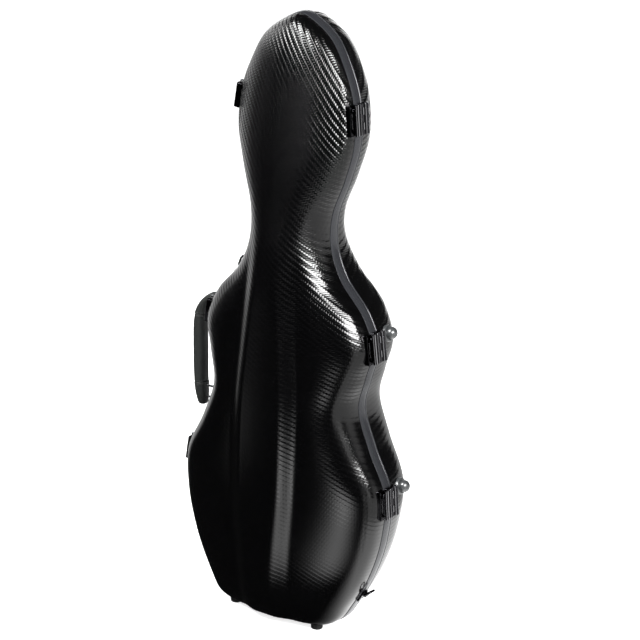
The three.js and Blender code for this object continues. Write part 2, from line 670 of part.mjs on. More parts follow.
// The straight hinge line: it touches the left side at its widest places and leans in towards the head
function touchingLine() {
  const fine = range(SEARCH_STEPS).map((i) => seamPoint(i / SEARCH_STEPS));
  const reachOf = (p, lean) => p.x + lean * p.z;
  const widest = ([, low, high], lean) =>
    fine
      .filter((p) => heightShare(p.z) > low && heightShare(p.z) < high)
      .reduce((best, p) => (reachOf(p, lean) > reachOf(best, lean) ? p : best));
  const lowest = HINGE_SEARCH_SHARES[0];
  const highest = HINGE_SEARCH_SHARES[HINGE_SEARCH_SHARES.length - 1];
  let [flat, steep] = [0, 1];
  for (const _ of range(LEAN_ROUNDS)) {
    const lean = (flat + steep) / 2;
    if (reachOf(widest(lowest, lean), lean) > reachOf(widest(highest, lean), lean)) flat = lean;
    else steep = lean;
  }
  const places = HINGE_SEARCH_SHARES.map((band) => [band[0], widest(band, flat)]);
  return { lean: flat, reach: Math.max(...places.map(([, p]) => reachOf(p, flat))), places };
}

// Hinges: two leaves with interleaved knuckles on one pin
function hinge(name, height, line) {
  const place = vec(line.lean * height - line.reach, 0, height);
  const group = fittingGroup(place, vec(-1, 0, line.lean).normalize());
  const H = HINGE;
  const half = H.length / 2;
  const pitch = H.length / KNUCKLE_COUNT;
  const axis = (z) => vec(H.axisOut, 0, z);
  const sideways = (sign, near, far) => (sign > 0 ? [near, far] : [-far, -near]);
  const leaf = (sign, first) => {
    const [front, back] = sideways(sign, H.leafStart, H.leafStart + H.leafWide);
    const knuckles = range(KNUCKLE_COUNT).filter((i) => i % 2 === first);
    const parts = knuckles.map((i) => {
      const low = -half + i * pitch + (i > 0 ? GAP / 2 : 0);
      const high = -half + (i + 1) * pitch - (i < KNUCKLE_COUNT - 1 ? GAP / 2 : 0);
      const [webFront, webBack] = sideways(sign, 0, H.leafStart + GAP);
      return union(
        bar(axis(low), axis(high), H.barrelRadius),
        block([H.axisOut - H.barrelRadius, webFront, low], [H.leafOut, webBack, high]),
      );
    });
    const body = union(block([-H.sink, front, -half], [H.leafOut, back, half]), ...parts);
    return seated(group, cut(body, bar(axis(-half - GAP), axis(half + GAP), H.boreRadius)));
  };
  add(group, `hinge_${name}_lid_leaf`, leaf(-1, 1), MATERIALS.metal);
  add(group, `hinge_${name}_base_leaf`, leaf(1, 0), MATERIALS.metal);
  add(group, `hinge_${name}_pin`, bar(axis(-half), axis(half), H.pinRadius), MATERIALS.steel);
}

// Latches: a strike with a ridge on the lid, and a hooked lever on a pin behind the band
function latch(name, height) {
  const group = fittingGroup(...wallAt(height, 1));
  const L = LATCH;
  const half = L.length / 2;
  const middle = half - L.knuckle;
  const ridgeHalf = L.ridgeLength / 2;
  const pivot = (z) => vec(L.pivotOut, L.pivotBack, z);
  const bore = bar(pivot(-half - GAP), pivot(half + GAP), L.boreRadius);
  const screws = [-1, 1].map((sign) => {
    const z = sign * (half - 2 * L.screwRadius);
    const head = vec(L.strikeOut + L.screwProud, -L.screwBack, z);
    return bar(vec(0, -L.screwBack, z), head, L.screwRadius, SCREW_SIDES);
  });
  const strike = union(
    block([-L.sink, -L.strikeBack, -half], [L.strikeOut, -L.strikeStart, half]),
    block([0, -L.ridgeBack - L.ridgeThick, -ridgeHalf], [L.ridgeOut, -L.ridgeBack, ridgeHalf]),
    ...screws,
  );
  add(group, `latch_${name}_strike`, seated(group, strike), MATERIALS.metal);

  const seat = union(
    block([-L.sink, L.plateStart, -half], [L.plateOut, L.pivotBack + L.barrelRadius, half]),
    bar(pivot(-half), pivot(-middle), L.barrelRadius),
    bar(pivot(middle), pivot(half), L.barrelRadius),
  );
  const knuckleRoom = block(
    [L.pivotOut - L.barrelRadius - GAP, L.pivotBack - L.barrelRadius - GAP, -middle],
    [L.pivotOut + L.length, L.pivotBack + L.length, middle],
  );
  add(group, `latch_${name}_plate`, seated(group, cut(seat, knuckleRoom, bore)), MATERIALS.metal);

  const leverTop = L.leverOut + L.leverThick;
  const leverBack = L.pivotBack - L.barrelRadius - GAP;
  const reach = middle - GAP;
  const ribs = L.ribBacks.map((y) =>
    block([L.leverOut, y, -half], [leverTop + L.ribProud, y + L.ribThick, half]),
  );
  const claw = block(
    [L.leverOut - L.clawDepth, -L.leverFront, -ridgeHalf],
    [leverTop, L.clawThick - L.leverFront, ridgeHalf],
  );
  const lever = union(
    block([L.leverOut, -L.leverFront, -half], [leverTop, leverBack, half]),
    block([L.leverOut, 0, -reach], [leverTop, L.pivotBack, reach]),
    bar(pivot(-reach), pivot(reach), L.barrelRadius),
    claw,
    ...ribs,
  );
  add(group, `latch_${name}_lever`, cut(lever, bore), MATERIALS.metal);
  add(group, `latch_${name}_pin`, bar(pivot(-half), pivot(half), L.pinRadius), MATERIALS.steel);
}

// A round wire along points in one plane, as one loop or with two ends
function wire(points, normal, radius, isLoop) {
  const count = points.length;
  const rings = points.map((point, i) => {
    const before = points[isLoop ? (i + count - 1) % count : Math.max(i - 1, 0)];
    const after = points[isLoop ? (i + 1) % count : Math.min(i + 1, count - 1)];
    const across = normal.clone().cross(after.clone().sub(before)).normalize();
    return range(WIRE_SIDES).map((j) => {
      const angle = (2 * Math.PI * j) / WIRE_SIDES;
      const [a, b] = [radius * Math.cos(angle), radius * Math.sin(angle)];
      return point.clone().addScaledVector(across, a).addScaledVector(normal, b);
    });
  });
  if (isLoop) return loft(rings, true);
  const end = (point) => range(WIRE_SIDES).map(() => point.clone());
  return loft([end(points[0]), ...rings, end(points[count - 1])]);
}

// Handle: an eye on the band at each end, a wire link in each eye, and a padded grip on the links
function handle() {
  const middle = heightAt(HANDLE_HEIGHT_SHARE);
  const eyePlace = (sign) => {
    const height = middle + (sign * LINK_SPAN) / 2;
    return vec(-(seamAtHeight(height).x + BAND.proud + HANDLE.eyeOut), HANDLE.back, height);
  };
  const [low, high] = [eyePlace(-1), eyePlace(1)];
  const way = high.clone().sub(low).normalize();
  const out = vec(-way.z, 0, way.x);
  const grip = fittingGroup(low.clone().add(high).multiplyScalar(1 / 2), out);
  const gripCentre = (t) => {
    const end = HANDLE.upperOut + ((HANDLE.lowerOut - HANDLE.upperOut) * (t + 1)) / 2;
    return vec(end + (HANDLE.out - end) * (1 - t ** GRIP_ARCH_POWER), 0, (t * HANDLE.length) / 2);
  };
  const gripRing = (t, grow) => {
    const full = Math.sqrt(1 - t ** GRIP_TAPER_POWER);
    const wide = HANDLE.endWide + (HANDLE.wide - HANDLE.endWide) * full;
    const thick = HANDLE.endThick + (HANDLE.thick - HANDLE.endThick) * full;
    return range(GRIP_SIDES).map((i) => {
      const angle = (2 * Math.PI * i) / GRIP_SIDES;
      const offset = vec(Math.cos(angle) * (thick / 2 + grow), Math.sin(angle) * (wide / 2 + grow), 0);
      return gripCentre(t).add(offset);
    });
  };
  const gripEnd = (t) => range(GRIP_SIDES).map(() => gripCentre(t));
  const gripSolid = (grow) =>
    loft([gripEnd(-1), ...GRIP_STATION_SHARES.map((t) => gripRing(t, grow)), gripEnd(1)]);
  add(grip, "handle_grip", gripSolid(0), MATERIALS.leather);
  const grown = gripSolid(GAP);

  for (const [name, place, sign] of [["lower", low, 1], ["upper", high, -1]]) {
    const centre = (sign * LINK_SPAN) / 2;
    const half = HANDLE.linkLength / 2;
    const corner = HANDLE.linkCorner;
    const inGrip = (z) => vec(gripCentre((2 * z) / HANDLE.length).x, 0, z);
    const turn = (z, inward) =>
      range(LINK_TURN_STEPS + 1).map((i) => {
        const angle = (Math.PI / 2) * (i / LINK_TURN_STEPS);
        const [a, b] = inward ? [Math.cos(angle), Math.sin(angle)] : [Math.sin(angle), Math.cos(angle)];
        return vec(corner - corner * b, 0, z - Math.sign(z - centre) * corner * (1 - a));
      });
    const path = [
      inGrip(centre - half),
      ...turn(centre - half, true),
      ...turn(centre + half, false),
      inGrip(centre + half),
    ];
    const link = wire(path, vec(0, 1, 0), HANDLE.linkRadius, false);
    add(grip, `handle_link_${name}`, cut(link, grown), MATERIALS.steel);

    const eye = fittingGroup(place, out);
    const along = (z) => vec(0, 0, z);
    const foot = vec(-HANDLE.eyeOut - EYE.sink, 0, 0);
    const post = union(
      bar(foot, vec(EYE.flangeOut - HANDLE.eyeOut, 0, 0), EYE.flangeRadius, FLANGE_SIDES),
      bar(foot, vec(0, 0, 0), EYE.postRadius, GRIP_SIDES),
      bar(along(-EYE.length / 2), along(EYE.length / 2), EYE.radius),
    );
    const bore = bar(along(-EYE.length), along(EYE.length), EYE.boreRadius);
    add(eye, `handle_eye_${name}`, seated(eye, cut(post, bore)), MATERIALS.metal);
  }
}

// Strap rings: a plate with a tunnel on the band, and a wire loop that swings in the tunnel
function strapRing(name, height, side) {
  const group = fittingGroup(...wallAt(height, side));
  const R = STRAP_RING;
  const tunnel = vec(R.axisOut, R.back, side * (R.plateLong / 2 - R.lugRadius));
  const across = (y) => vec(tunnel.x, R.back + y, tunnel.z);
  const base = plate(
    roundedRectangle(-R.sink, R.plateOut, -R.plateLong / 2, R.plateLong / 2, R.plateRound),
    R.back - R.plateWide / 2,
    R.back + R.plateWide / 2,
  );
  const lug = union(
    bar(across(-R.lugWide / 2), across(R.lugWide / 2), R.lugRadius),
    block(
      [0, R.back - R.lugWide / 2, tunnel.z - R.lugRadius],
      [tunnel.x, R.back + R.lugWide / 2, tunnel.z + R.lugRadius],
    ),
  );
  const bore = bar(across(-R.plateWide), across(R.plateWide), R.tunnelRadius);
  add(group, `strap_plate_${name}`, seated(group, cut(union(base, lug), bore)), MATERIALS.metal);
  const tilt = THREE.MathUtils.degToRad(STRAP_RING_TILT_DEGREES);
  const way = vec(Math.sin(tilt), 0, side * Math.cos(tilt));
  const halfInside = R.inside / 2 + R.wire;
  const loop = roundedRectangle(-halfInside, halfInside, 0, R.long, R.corner).map(([y, s]) =>
    across(y).addScaledVector(way, s),
  );
  const normal = vec(way.z, 0, -way.x);
  add(group, `strap_ring_${name}`, wire(loop, normal, R.wire, true), MATERIALS.metal);
}

// Bumpers: a dome on a flange, on the base's right wall
function bumper(name, height) {
  const group = fittingGroup(...wallAt(height, 1));
  const B = BUMPER;
  const dome = range(DOME_STEPS + 1).map((i) => {
    const angle = (Math.PI / 2) * (i / DOME_STEPS);
    const rise = (B.out - B.flangeOut) * Math.sin(angle);
    return new THREE.Vector2(B.radius * Math.cos(angle), B.flangeOut + rise);
  });
  dome[DOME_STEPS].x = 0;
  const profile = [
    new THREE.Vector2(0, -B.sink),
    new THREE.Vector2(B.flangeRadius, -B.sink),
    new THREE.Vector2(B.flangeRadius, B.flangeOut / 2),
    ...dome,
  ];
  const turned = new THREE.LatheGeometry(profile, BUMPER_SIDES);
  turned.rotateZ(-Math.PI / 2);
  turned.translate(0, B.back, 0);
  add(group, `bumper_${name}`, seated(group, solid(turned)), MATERIALS.bumper);
}

const hingeLine = touchingLine();
for (const [name, point] of hingeLine.places) hinge(name, point.z, hingeLine);
for (const [name, share] of LATCH_HEIGHT_SHARES) latch(name, heightAt(share));
handle();
strapRing("shoulder", heightAt(SHOULDER_RING_SHARE), -1);
strapRing("lower", heightAt(LOWER_RING_SHARE), 1);
for (const [name, share] of BUMPER_HEIGHT_SHARES) bumper(name, heightAt(share));

// Feet: two under the lid and two under the base, all standing on one level
const upright = new THREE.Group();
upright.updateMatrix();
for (const [half, y] of [["lid", -FOOT.lidBack], ["base", FOOT.baseBack]])
  for (const [side, sign] of [["left", -1], ["right", 1]]) {
    const [sole, top] = [vec(sign * FOOT.across, y, 0), vec(sign * FOOT.across, y, FOOT.tall)];
    const foot = bar(sole, top, FOOT.radius, BUMPER_SIDES, FOOT.topRadius);
    add(caseGroup, `foot_${half}_${side}`, seated(upright, foot), MATERIALS.rubber);
  }

// The origin is on the ground, in the middle of the whole case seen from above
const whole = new THREE.Box3().setFromObject(caseGroup, true);
caseGroup.position.set(-(whole.min.x + whole.max.x) / 2, -(whole.min.y + whole.max.y) / 2, -whole.min.z);
const hardCase = new THREE.Group();
hardCase.add(caseGroup);
export default hardCase;
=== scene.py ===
"""Builds the finished look of a cello-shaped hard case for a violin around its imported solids."""

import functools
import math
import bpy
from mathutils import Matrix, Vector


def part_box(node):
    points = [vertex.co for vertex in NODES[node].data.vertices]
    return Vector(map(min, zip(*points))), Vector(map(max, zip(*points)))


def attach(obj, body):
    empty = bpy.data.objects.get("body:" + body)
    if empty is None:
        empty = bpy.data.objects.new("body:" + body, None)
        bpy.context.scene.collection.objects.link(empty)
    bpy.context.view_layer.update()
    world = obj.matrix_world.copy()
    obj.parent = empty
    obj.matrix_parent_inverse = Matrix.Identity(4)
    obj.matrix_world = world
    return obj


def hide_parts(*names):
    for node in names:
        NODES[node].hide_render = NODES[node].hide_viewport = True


bl_info = {
    "name": "Cello-shaped violin case",
    "version": (1, 0, 0),
    "blender": (4, 5, 0),
    "location": "3D Viewport > Sidebar > Violin Case",
    "description": "Builds a hard violin case with woven-look shells, seam band, fittings and a lined inside",
    "category": "Add Mesh",
}

import bmesh
import bpy
import numpy as np
from bpy.props import FloatProperty, FloatVectorProperty, PointerProperty
from bpy.types import Operator, Panel, PropertyGroup
from mathutils import Matrix, Vector

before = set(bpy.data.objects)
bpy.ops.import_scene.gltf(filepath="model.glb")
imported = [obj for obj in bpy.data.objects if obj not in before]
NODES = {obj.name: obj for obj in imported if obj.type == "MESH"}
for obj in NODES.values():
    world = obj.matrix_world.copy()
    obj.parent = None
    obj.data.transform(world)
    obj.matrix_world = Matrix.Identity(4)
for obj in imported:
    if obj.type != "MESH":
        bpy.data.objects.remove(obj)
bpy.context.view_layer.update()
MM = 0.001

# The case is drawn in millimetres about the middle of its seam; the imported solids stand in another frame
SEAM_GAP = 0.5
SHELL_LOW, SHELL_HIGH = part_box("base_shell")
LID_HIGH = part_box("lid_shell")[1]
ORIGIN = np.array([(SHELL_LOW.x + SHELL_HIGH.x) / 2, LID_HIGH.y + SEAM_GAP * MM, 0.0])

# Driving dimensions of the shells, in millimetres
HEIGHT, HALF_WIDTH = 782.0, 147.0
LID_DEPTH, BASE_DEPTH = 58.0, 84.0
WALL, FLOOR_CLEARANCE = 2.6, 4.0
SPINE_RISE, SPINE_RAMP = 10.0, 26.0
SPINE_FADE = (0.55, 0.72)
MIDDLE_LOW = FLOOR_CLEARANCE + HEIGHT * 0.11
MIDDLE_HIGH = FLOOR_CLEARANCE + HEIGHT * 0.89
BOTTOM_EASE = 0.6
OUTLINE_SHARES = [
    (0, 0), (0.4, 0.001), (0.6, 0.0115), (0.725, 0.0445), (0.885, 0.104), (0.99, 0.174), (1, 0.251),
    (0.824, 0.321), (0.705, 0.385), (0.762, 0.436), (0.823, 0.487), (0.714, 0.538), (0.476, 0.59),
    (0.367, 0.641), (0.374, 0.692), (0.483, 0.749), (0.565, 0.813), (0.537, 0.877), (0.435, 0.928),
    (0.305, 0.967), (0.122, 0.992), (0, 1),
]
# Share of the height, then face depth and fold depth, face half width and spine half width
LID_SHARES = [
    (0, 0.84, 0.6, 0.78, 0.17), (0.12, 0.94, 0.66, 0.88, 0.21), (0.24, 1, 0.68, 0.94, 0.26),
    (0.38, 1, 0.76, 0.76, 0.26), (0.49, 0.95, 0.6, 0.8, 0.22), (0.58, 0.92, 0.62, 0.54, 0.18),
    (0.66, 0.9, 0.6, 0.38, 0.16), (0.79, 0.74, 0.45, 0.5, 0.16), (0.89, 0.62, 0.38, 0.46, 0.16),
    (1, 0.48, 0.34, 0.4, 0.16),
]
BASE_SHARES = [
    (0, 0.62), (0.12, 0.84), (0.25, 1.04), (0.34, 1.06), (0.42, 1.02), (0.5, 1.04), (0.55, 1.02),
    (0.6, 0.86), (0.67, 0.63), (0.74, 0.65), (0.82, 0.745), (0.9, 0.76), (1, 0.75),
]
BAND_BACK = 2.7
BAND_DEPTH, BAND_PROUD = 16.0, 1.5

# How the woven sheet lies on the shells: its slip down the walls, and how far it is drawn out and
# how deep its relief stands at some heights
WEAVE_SLIP = 0.18
WEAVE_HEIGHTS = (4.0, 317.0, 489.0, 669.0, 786.0)
WEAVE_ACROSS = (0.6, 0.64, 0.85, 1.09, 1.09)
WEAVE_UPWARD = (1.3, 1.25, 1.0, 0.73, 0.73)
WEAVE_RELIEF = (0.22, 0.3, 0.9, 1.7, 1.9)

# How finely the shells are drawn
SEAM_COUNT = 384
RING_COUNT = 74
INNER_RING_COUNT = 20

# The camera that the photograph was taken with, in millimetres, degrees and image pixels
CAMERA_TURN, CAMERA_TILT, CAMERA_ROLL = 34.67, 18.77, 1.718
CAMERA_DISTANCE, CAMERA_TARGET_HEIGHT = 2862.7, 395.0
FOCAL_PIXELS, MIDDLE_PIXEL = 2293.5, (291.95, 322.74)
IMAGE_PIXELS, SENSOR_MM = 640, 36.0


def length_setting(name, description, default, least):
    return FloatProperty(name=name, description=description, default=default, min=least, unit="LENGTH")


def colour_setting(name, description, default):
    return FloatVectorProperty(
        name=name, description=description, default=default, size=3, subtype="COLOR", min=0, max=1
    )


class CaseSizes(PropertyGroup):
    tow_width: length_setting("Tow Width", "Width of one strip of the woven relief", 0.002, 0.0005)
    relief: length_setting("Relief", "Height of the woven relief on the shells", 0.00015, 0)
    edge: length_setting("Edge Rounding", "Rounding of the metal fittings' edges", 0.0003, 0.00005)
    stitch: length_setting("Stitch Length", "Length of one stitch on the handle and straps", 0.0036, 0.001)


class CaseColours(PropertyGroup):
    shell: colour_setting("Shell", "Colour of the moulded shells", (0.0005, 0.0005, 0.0006))
    band: colour_setting("Band", "Colour of the seam band", (0.022, 0.023, 0.026))
    rubber: colour_setting("Rubber", "Colour of the seal and the feet", (0.01, 0.01, 0.01))
    nickel: colour_setting("Black Nickel", "Colour of the latches and hinges", (0.035, 0.035, 0.038))
    leather: colour_setting("Leather", "Colour of the handle's leather", (0.012, 0.014, 0.013))
    lining: colour_setting("Lining", "Colour of the velvet inside", (0.045, 0.0045, 0.009))


def smoothstep(value, low, high):
    share = np.clip((value - low) / (high - low), 0, 1)
    return share * share * (3 - 2 * share)


def along(table, share, column):
    """Reads a column of a table of shares at height shares, on a smooth curve through its rows."""
    rows = np.asarray(table, float)
    at, value = rows[:, 0], rows[:, column]
    slope = np.gradient(value, at, edge_order=1)
    slope[1:-1] = (value[2:] - value[:-2]) / (at[2:] - at[:-2])
    k = np.clip(np.searchsorted(at, share, side="right") - 1, 0, len(at) - 2)
    span = at[k + 1] - at[k]
    t = np.clip((share - at[k]) / span, 0, 1)
    curve = value[k] + (value[k + 1] - value[k]) * t * t * (3 - 2 * t)
    return curve + slope[k] * span * t * (1 - t) ** 2 - slope[k + 1] * span * t * t * (1 - t)


def walked_along(points):
    """How far along a line each of its points lies."""
    return np.concatenate([[0], np.cumsum(np.linalg.norm(np.diff(points, axis=0), axis=1))])


def curve_through(points, count):
    """Evenly spaced points on a closed centripetal curve through points, and the way the curve runs there."""
    points = np.asarray(points, float)
    total = len(points)
    dense = []
    steps = 60
    for i in range(total):
        p = [points[(i + k) % total] for k in (-1, 0, 1, 2)]
        gaps = [max(np.linalg.norm(p[k + 1] - p[k]) ** 0.5, 1e-4) for k in range(3)]
        out = (p[1] - p[0]) / gaps[0] - (p[2] - p[0]) / (gaps[0] + gaps[1]) + (p[2] - p[1]) / gaps[1]
        into = (p[2] - p[1]) / gaps[1] - (p[3] - p[1]) / (gaps[1] + gaps[2]) + (p[3] - p[2]) / gaps[2]
        out, into = out * gaps[1], into * gaps[1]
        t = (np.arange(steps) / steps)[:, None]
        dense.append(
            p[1] + out * t + (-3 * p[1] + 3 * p[2] - 2 * out - into) * t**2
            + (2 * p[1] - 2 * p[2] + out + into) * t**3
        )
    dense = np.concatenate(dense)
    closed = np.vstack([dense, dense[:1]])
    length = walked_along(closed)
    at = np.arange(count) / count * length[-1]
    spaced = np.stack([np.interp(at, length, closed[:, k]) for k in range(closed.shape[1])], 1)
    way = np.roll(spaced, -1, 0) - np.roll(spaced, 1, 0)
    return spaced, way / np.linalg.norm(way, axis=1, keepdims=True)


def mirrored(shares, half_width, bottom, length):
    half = [(x * half_width, bottom + z * length) for x, z in shares]
    return half + [(-x, z) for x, z in half[-2:0:-1]]


def seam_line(count):
    """Points (x, z) round the seam from the bottom up the right side, and the outward normals."""
    points, way = curve_through(mirrored(OUTLINE_SHARES, HALF_WIDTH, FLOOR_CLEARANCE, HEIGHT), count)
    return points, np.stack([way[:, 1], -way[:, 0]], 1)


def height_at(share):
    return FLOOR_CLEARANCE + HEIGHT * share


def wall_at(height, side):
    """The seam's place and outward way at a height, on the right (1) or left (-1)."""
    count = 4000
    points, out = seam_line(count)
    rising = slice(0, count // 2 + 1)
    found = [np.interp(height, points[rising, 1], column[rising]) for column in (points[:, 0], *out.T)]
    return np.array([side * found[0], 0, height]), np.array([side * found[1], 0, found[2]])


def lid_depth(x, z):
    share = (z - FLOOR_CLEARANCE) / HEIGHT
    face = LID_DEPTH * along(LID_SHARES, share, 1)
    fold = LID_DEPTH * along(LID_SHARES, share, 2)
    across = np.minimum(1, np.abs(x) / (HALF_WIDTH * along(LID_SHARES, share, 3)))
    spine = HALF_WIDTH * along(LID_SHARES, share, 4)
    fade = 1 - smoothstep(share, *SPINE_FADE)
    inside = 1 - smoothstep(np.abs(x), spine - SPINE_RAMP / 2, spine + SPINE_RAMP / 2)
    return fold + (face - fold) * (1 - across**2) + SPINE_RISE * fade * inside


def base_depth(x, z):
    return BASE_DEPTH * along(BASE_SHARES, (z - FLOOR_CLEARANCE) / HEIGHT, 1)


LID = {"side": -1, "edge": SEAM_GAP, "depth": lid_depth, "power": 4.5, "draft": 9.0}
BASE = {"side": 1, "edge": BAND_BACK, "depth": base_depth, "power": 4.0, "draft": 3.0}


def ring_shares(power, count, crease):
    """Where the rings lie from the middle line, 0, to the seam, 1: closest where the section turns."""
    angle = np.linspace(0, np.pi / 2, 6001)
    rho, turn = np.sin(angle) ** (2 / power), np.cos(angle) ** (2 / power)
    x, y = rho * HALF_WIDTH, turn * LID_DEPTH
    step = np.hypot(np.diff(x), np.diff(y))
    heading = np.unwrap(np.arctan2(np.diff(y), np.diff(x)))
    bend = np.abs(np.diff(heading, prepend=heading[0]))
    middle = (rho[1:] + rho[:-1]) / 2
    weight = step * (1 + crease * (middle < 0.6)) / HALF_WIDTH + 0.55 * bend
    way = np.concatenate([[0], np.cumsum(weight)])
    return np.interp(np.linspace(0, way[-1], count), way, rho)


def shell_rings(half, count, seam_count=SEAM_COUNT, crease=1.4):
    """A shell's outer surface as rings of points, its normals, and where each point lies on the weave."""
    seam, out = seam_line(seam_count)
    rho = ring_shares(half["power"], count, crease if half is LID else 0)[:, None]
    turn = np.maximum(0, 1 - rho ** half["power"]) ** (1 / half["power"])
    middle = np.clip(seam[:, 1], MIDDLE_LOW, MIDDLE_HIGH)
    ease = 1 - BOTTOM_EASE * np.maximum(0, -out[:, 1]) ** 2
    lean = half["draft"] * ease * turn**2
    x = (seam[:, 0] - out[:, 0] * lean) * rho
    z = middle + (seam[:, 1] - out[:, 1] * lean - middle) * rho
    y = half["side"] * (half["edge"] + (half["depth"](x, z) - half["edge"]) * turn)
    rings = np.stack([x, y, z], 2)
    way = np.roll(rings, -1, 1) - np.roll(rings, 1, 1)
    across = np.empty_like(rings)
    across[1:-1] = rings[2:] - rings[:-2]
    across[0], across[-1] = rings[1] - rings[0], rings[-1] - rings[-2]
    normals = np.cross(way, across) * half["side"]
    normals /= np.maximum(np.linalg.norm(normals, axis=2, keepdims=True), 1e-9)
    normals[0] = (0, half["side"], 0)
    normals[-1] = np.stack([out[:, 0], np.zeros(seam_count), out[:, 1]], 1)
    # The relief lies on the face as flat cloth does, and is drawn out down the walls
    walked = np.concatenate([
        np.zeros((1, seam_count)), np.cumsum(np.linalg.norm(np.diff(rings, axis=0), axis=2), axis=0)
    ])
    flat = np.hypot(x, z - middle)
    heading = np.stack([x, z - middle], 2) / np.maximum(flat, 1e-6)[..., None]
    spare = WEAVE_SLIP * (walked - flat)[..., None] * heading
    height, column = z + spare[..., 1], x + spare[..., 0]
    steps = np.linspace(-200, 1000, 1201)
    upward = np.interp(steps, WEAVE_HEIGHTS, WEAVE_UPWARD)
    climbed = np.interp(height, steps, np.cumsum(upward) - upward[0])
    across = column * np.interp(height, WEAVE_HEIGHTS, WEAVE_ACROSS)
    weave = np.stack([across * MM, climbed * MM, np.interp(height, WEAVE_HEIGHTS, WEAVE_RELIEF)], 2)
    return rings, normals, weave


def new_object(name, points, faces, weave=None, merge=None, smooth_degrees=None):
    """A mesh object from points in the case's own millimetres."""
    mesh = bpy.data.meshes.new(name)
    placed = np.asarray(points, float).reshape(-1, 3) * MM + ORIGIN
    mesh.from_pydata(placed.tolist(), [], [list(map(int, face)) for face in faces])
    if weave is not None:
        layer = mesh.attributes.new("weave", "FLOAT_VECTOR", "POINT")
        layer.data.foreach_set("vector", np.asarray(weave, np.float32).ravel())
    made = bmesh.new()
    made.from_mesh(mesh)
    if merge:
        bmesh.ops.remove_doubles(made, verts=made.verts, dist=merge)
    bmesh.ops.recalc_face_normals(made, faces=made.faces)
    made.to_mesh(mesh)
    made.free()
    mesh.polygons.foreach_set("use_smooth", [True] * len(mesh.polygons))
    made_object = bpy.data.objects.new(name, mesh)
    bpy.context.scene.collection.objects.link(made_object)
    if smooth_degrees is not None:
        mesh.set_sharp_from_angle(angle=math.radians(smooth_degrees))
    return made_object


def ring_faces(ring_count, point_count, closed=False):
    faces = []
    for i in range(ring_count if closed else ring_count - 1):
        low, high = i * point_count, (i + 1) % ring_count * point_count
        for j in range(point_count):
            k = (j + 1) % point_count
            faces.append((low + j, low + k, high + k, high + j))
    return faces


def lofted(rings):
    """A closed form through rings of points, with a face at each end."""
    points, count = np.concatenate(rings), len(rings[0])
    faces = ring_faces(len(rings), count)
    faces += [tuple(range(count))[::-1], tuple(range(len(points) - count, len(points)))]
    return points, faces


def finished(made_object, body, finish, slot, *replaced):
    """Gives a piece its material and its place in the frame."""
    made_object.data.materials.clear()
    made_object.data.materials.append(finish)
    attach(made_object, body)
    if replaced:
        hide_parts(*replaced)
    return made_object


def rounded(outline, radius, steps=2):
    """A closed outline with its corners rounded off."""
    corners = np.asarray(outline, float)
    points = []
    for i, corner in enumerate(corners):
        before, after = corners[i - 1] - corner, corners[(i + 1) % len(corners)] - corner
        reach = min(radius, 0.46 * np.linalg.norm(before), 0.46 * np.linalg.norm(after))
        start = corner + before / np.linalg.norm(before) * reach
        end = corner + after / np.linalg.norm(after) * reach
        for t in np.linspace(0, 1, steps + 1):
            points.append(start * (1 - t) ** 2 + 2 * corner * t * (1 - t) + end * t**2)
    return np.array(points)


def cut(outline, parts):
    """A closed outline with each side cut into as many steps as parts gives for its length."""
    sides = zip(outline, np.roll(outline, -1, 0))
    return np.concatenate([
        np.linspace(start, end, parts(np.linalg.norm(end - start)) + 1)[:-1] for start, end in sides
    ])


def swept(name, profile, rounding):
    """A profile of (distance out from the seam, y) swept round the case."""
    seam, out = seam_line(SEAM_COUNT)
    rings = [
        np.stack([seam[:, 0] + out[:, 0] * d, np.full(SEAM_COUNT, y), seam[:, 1] + out[:, 1] * d], 1)
        for d, y in rounded(profile, rounding)
    ]
    return new_object(name, rings, ring_faces(len(rings), SEAM_COUNT, closed=True), smooth_degrees=40)


class Seat:
    """A fitting's own axes on the case: x out of the wall, y to the rear and z along the wall."""

    def __init__(self, place, out):
        rear = np.array([0.0, 1.0, 0.0])
        self.place = np.asarray(place, float)
        self.axes = np.array([out, rear, np.cross(out, rear)], float)

    def points(self, local):
        return self.place + np.asarray(local, float).reshape(-1, 3) @ self.axes


CASE_AXES = Seat((0, 0, 0), (1, 0, 0))


def turned(profile, centre=(0, 0, 0), axis=0, sides=40, closed=False):
    """A profile of (radius, distance along an axis) turned about that axis."""
    angle = np.arange(sides) / sides * 2 * math.pi
    points, faces, rings = [], [], []
    for radius, at in profile:
        rings.append((len(points), radius == 0))
        for turn in angle[:1] if radius == 0 else angle:
            points.append(np.roll([at, radius * math.cos(turn), radius * math.sin(turn)], axis))
    pairs = list(zip(rings, rings[1:] + rings[:1]))
    for (first, first_is_pole), (second, second_is_pole) in pairs if closed else pairs[:-1]:
        for j in range(sides):
            k = (j + 1) % sides
            if first_is_pole:
                faces.append((first, second + j, second + k))
            elif second_is_pole:
                faces.append((first + j, second, first + k))
            else:
                faces.append((first + j, second + j, second + k, first + k))
    return np.array(points) + centre, faces


def rod(low, high, radius, centre, axis=2, bore=0.0):
    """A round bar or sleeve along an axis."""
    inner = bore or 0
    profile = [(inner, low), (radius, low), (radius, high), (inner, high)]
    return turned(profile, centre, axis, 36, closed=bool(bore))


def headed_pin(half, radius, head, centre):
    """A pin along z with a turned head at each end, drawn as (radius, distance past the end)."""
    ends = [turned([(r, sign * (half + past)) for r, past in head], centre, 2, 32) for sign in (-1, 1)]
    return [rod(-half, half, radius, centre), *ends]


def extruded(outline, low, high, axis):
    """An outline in the two axes that follow an axis in turn, drawn out along that axis."""
    count = len(outline)
    points = [np.roll([at, a, b], axis) for at in (low, high) for a, b in outline]
    faces = [tuple(range(count))[::-1], tuple(range(count, 2 * count))]
    faces += [(j, (j + 1) % count, (j + 1) % count + count, j + count) for j in range(count)]
    return np.array(points), faces


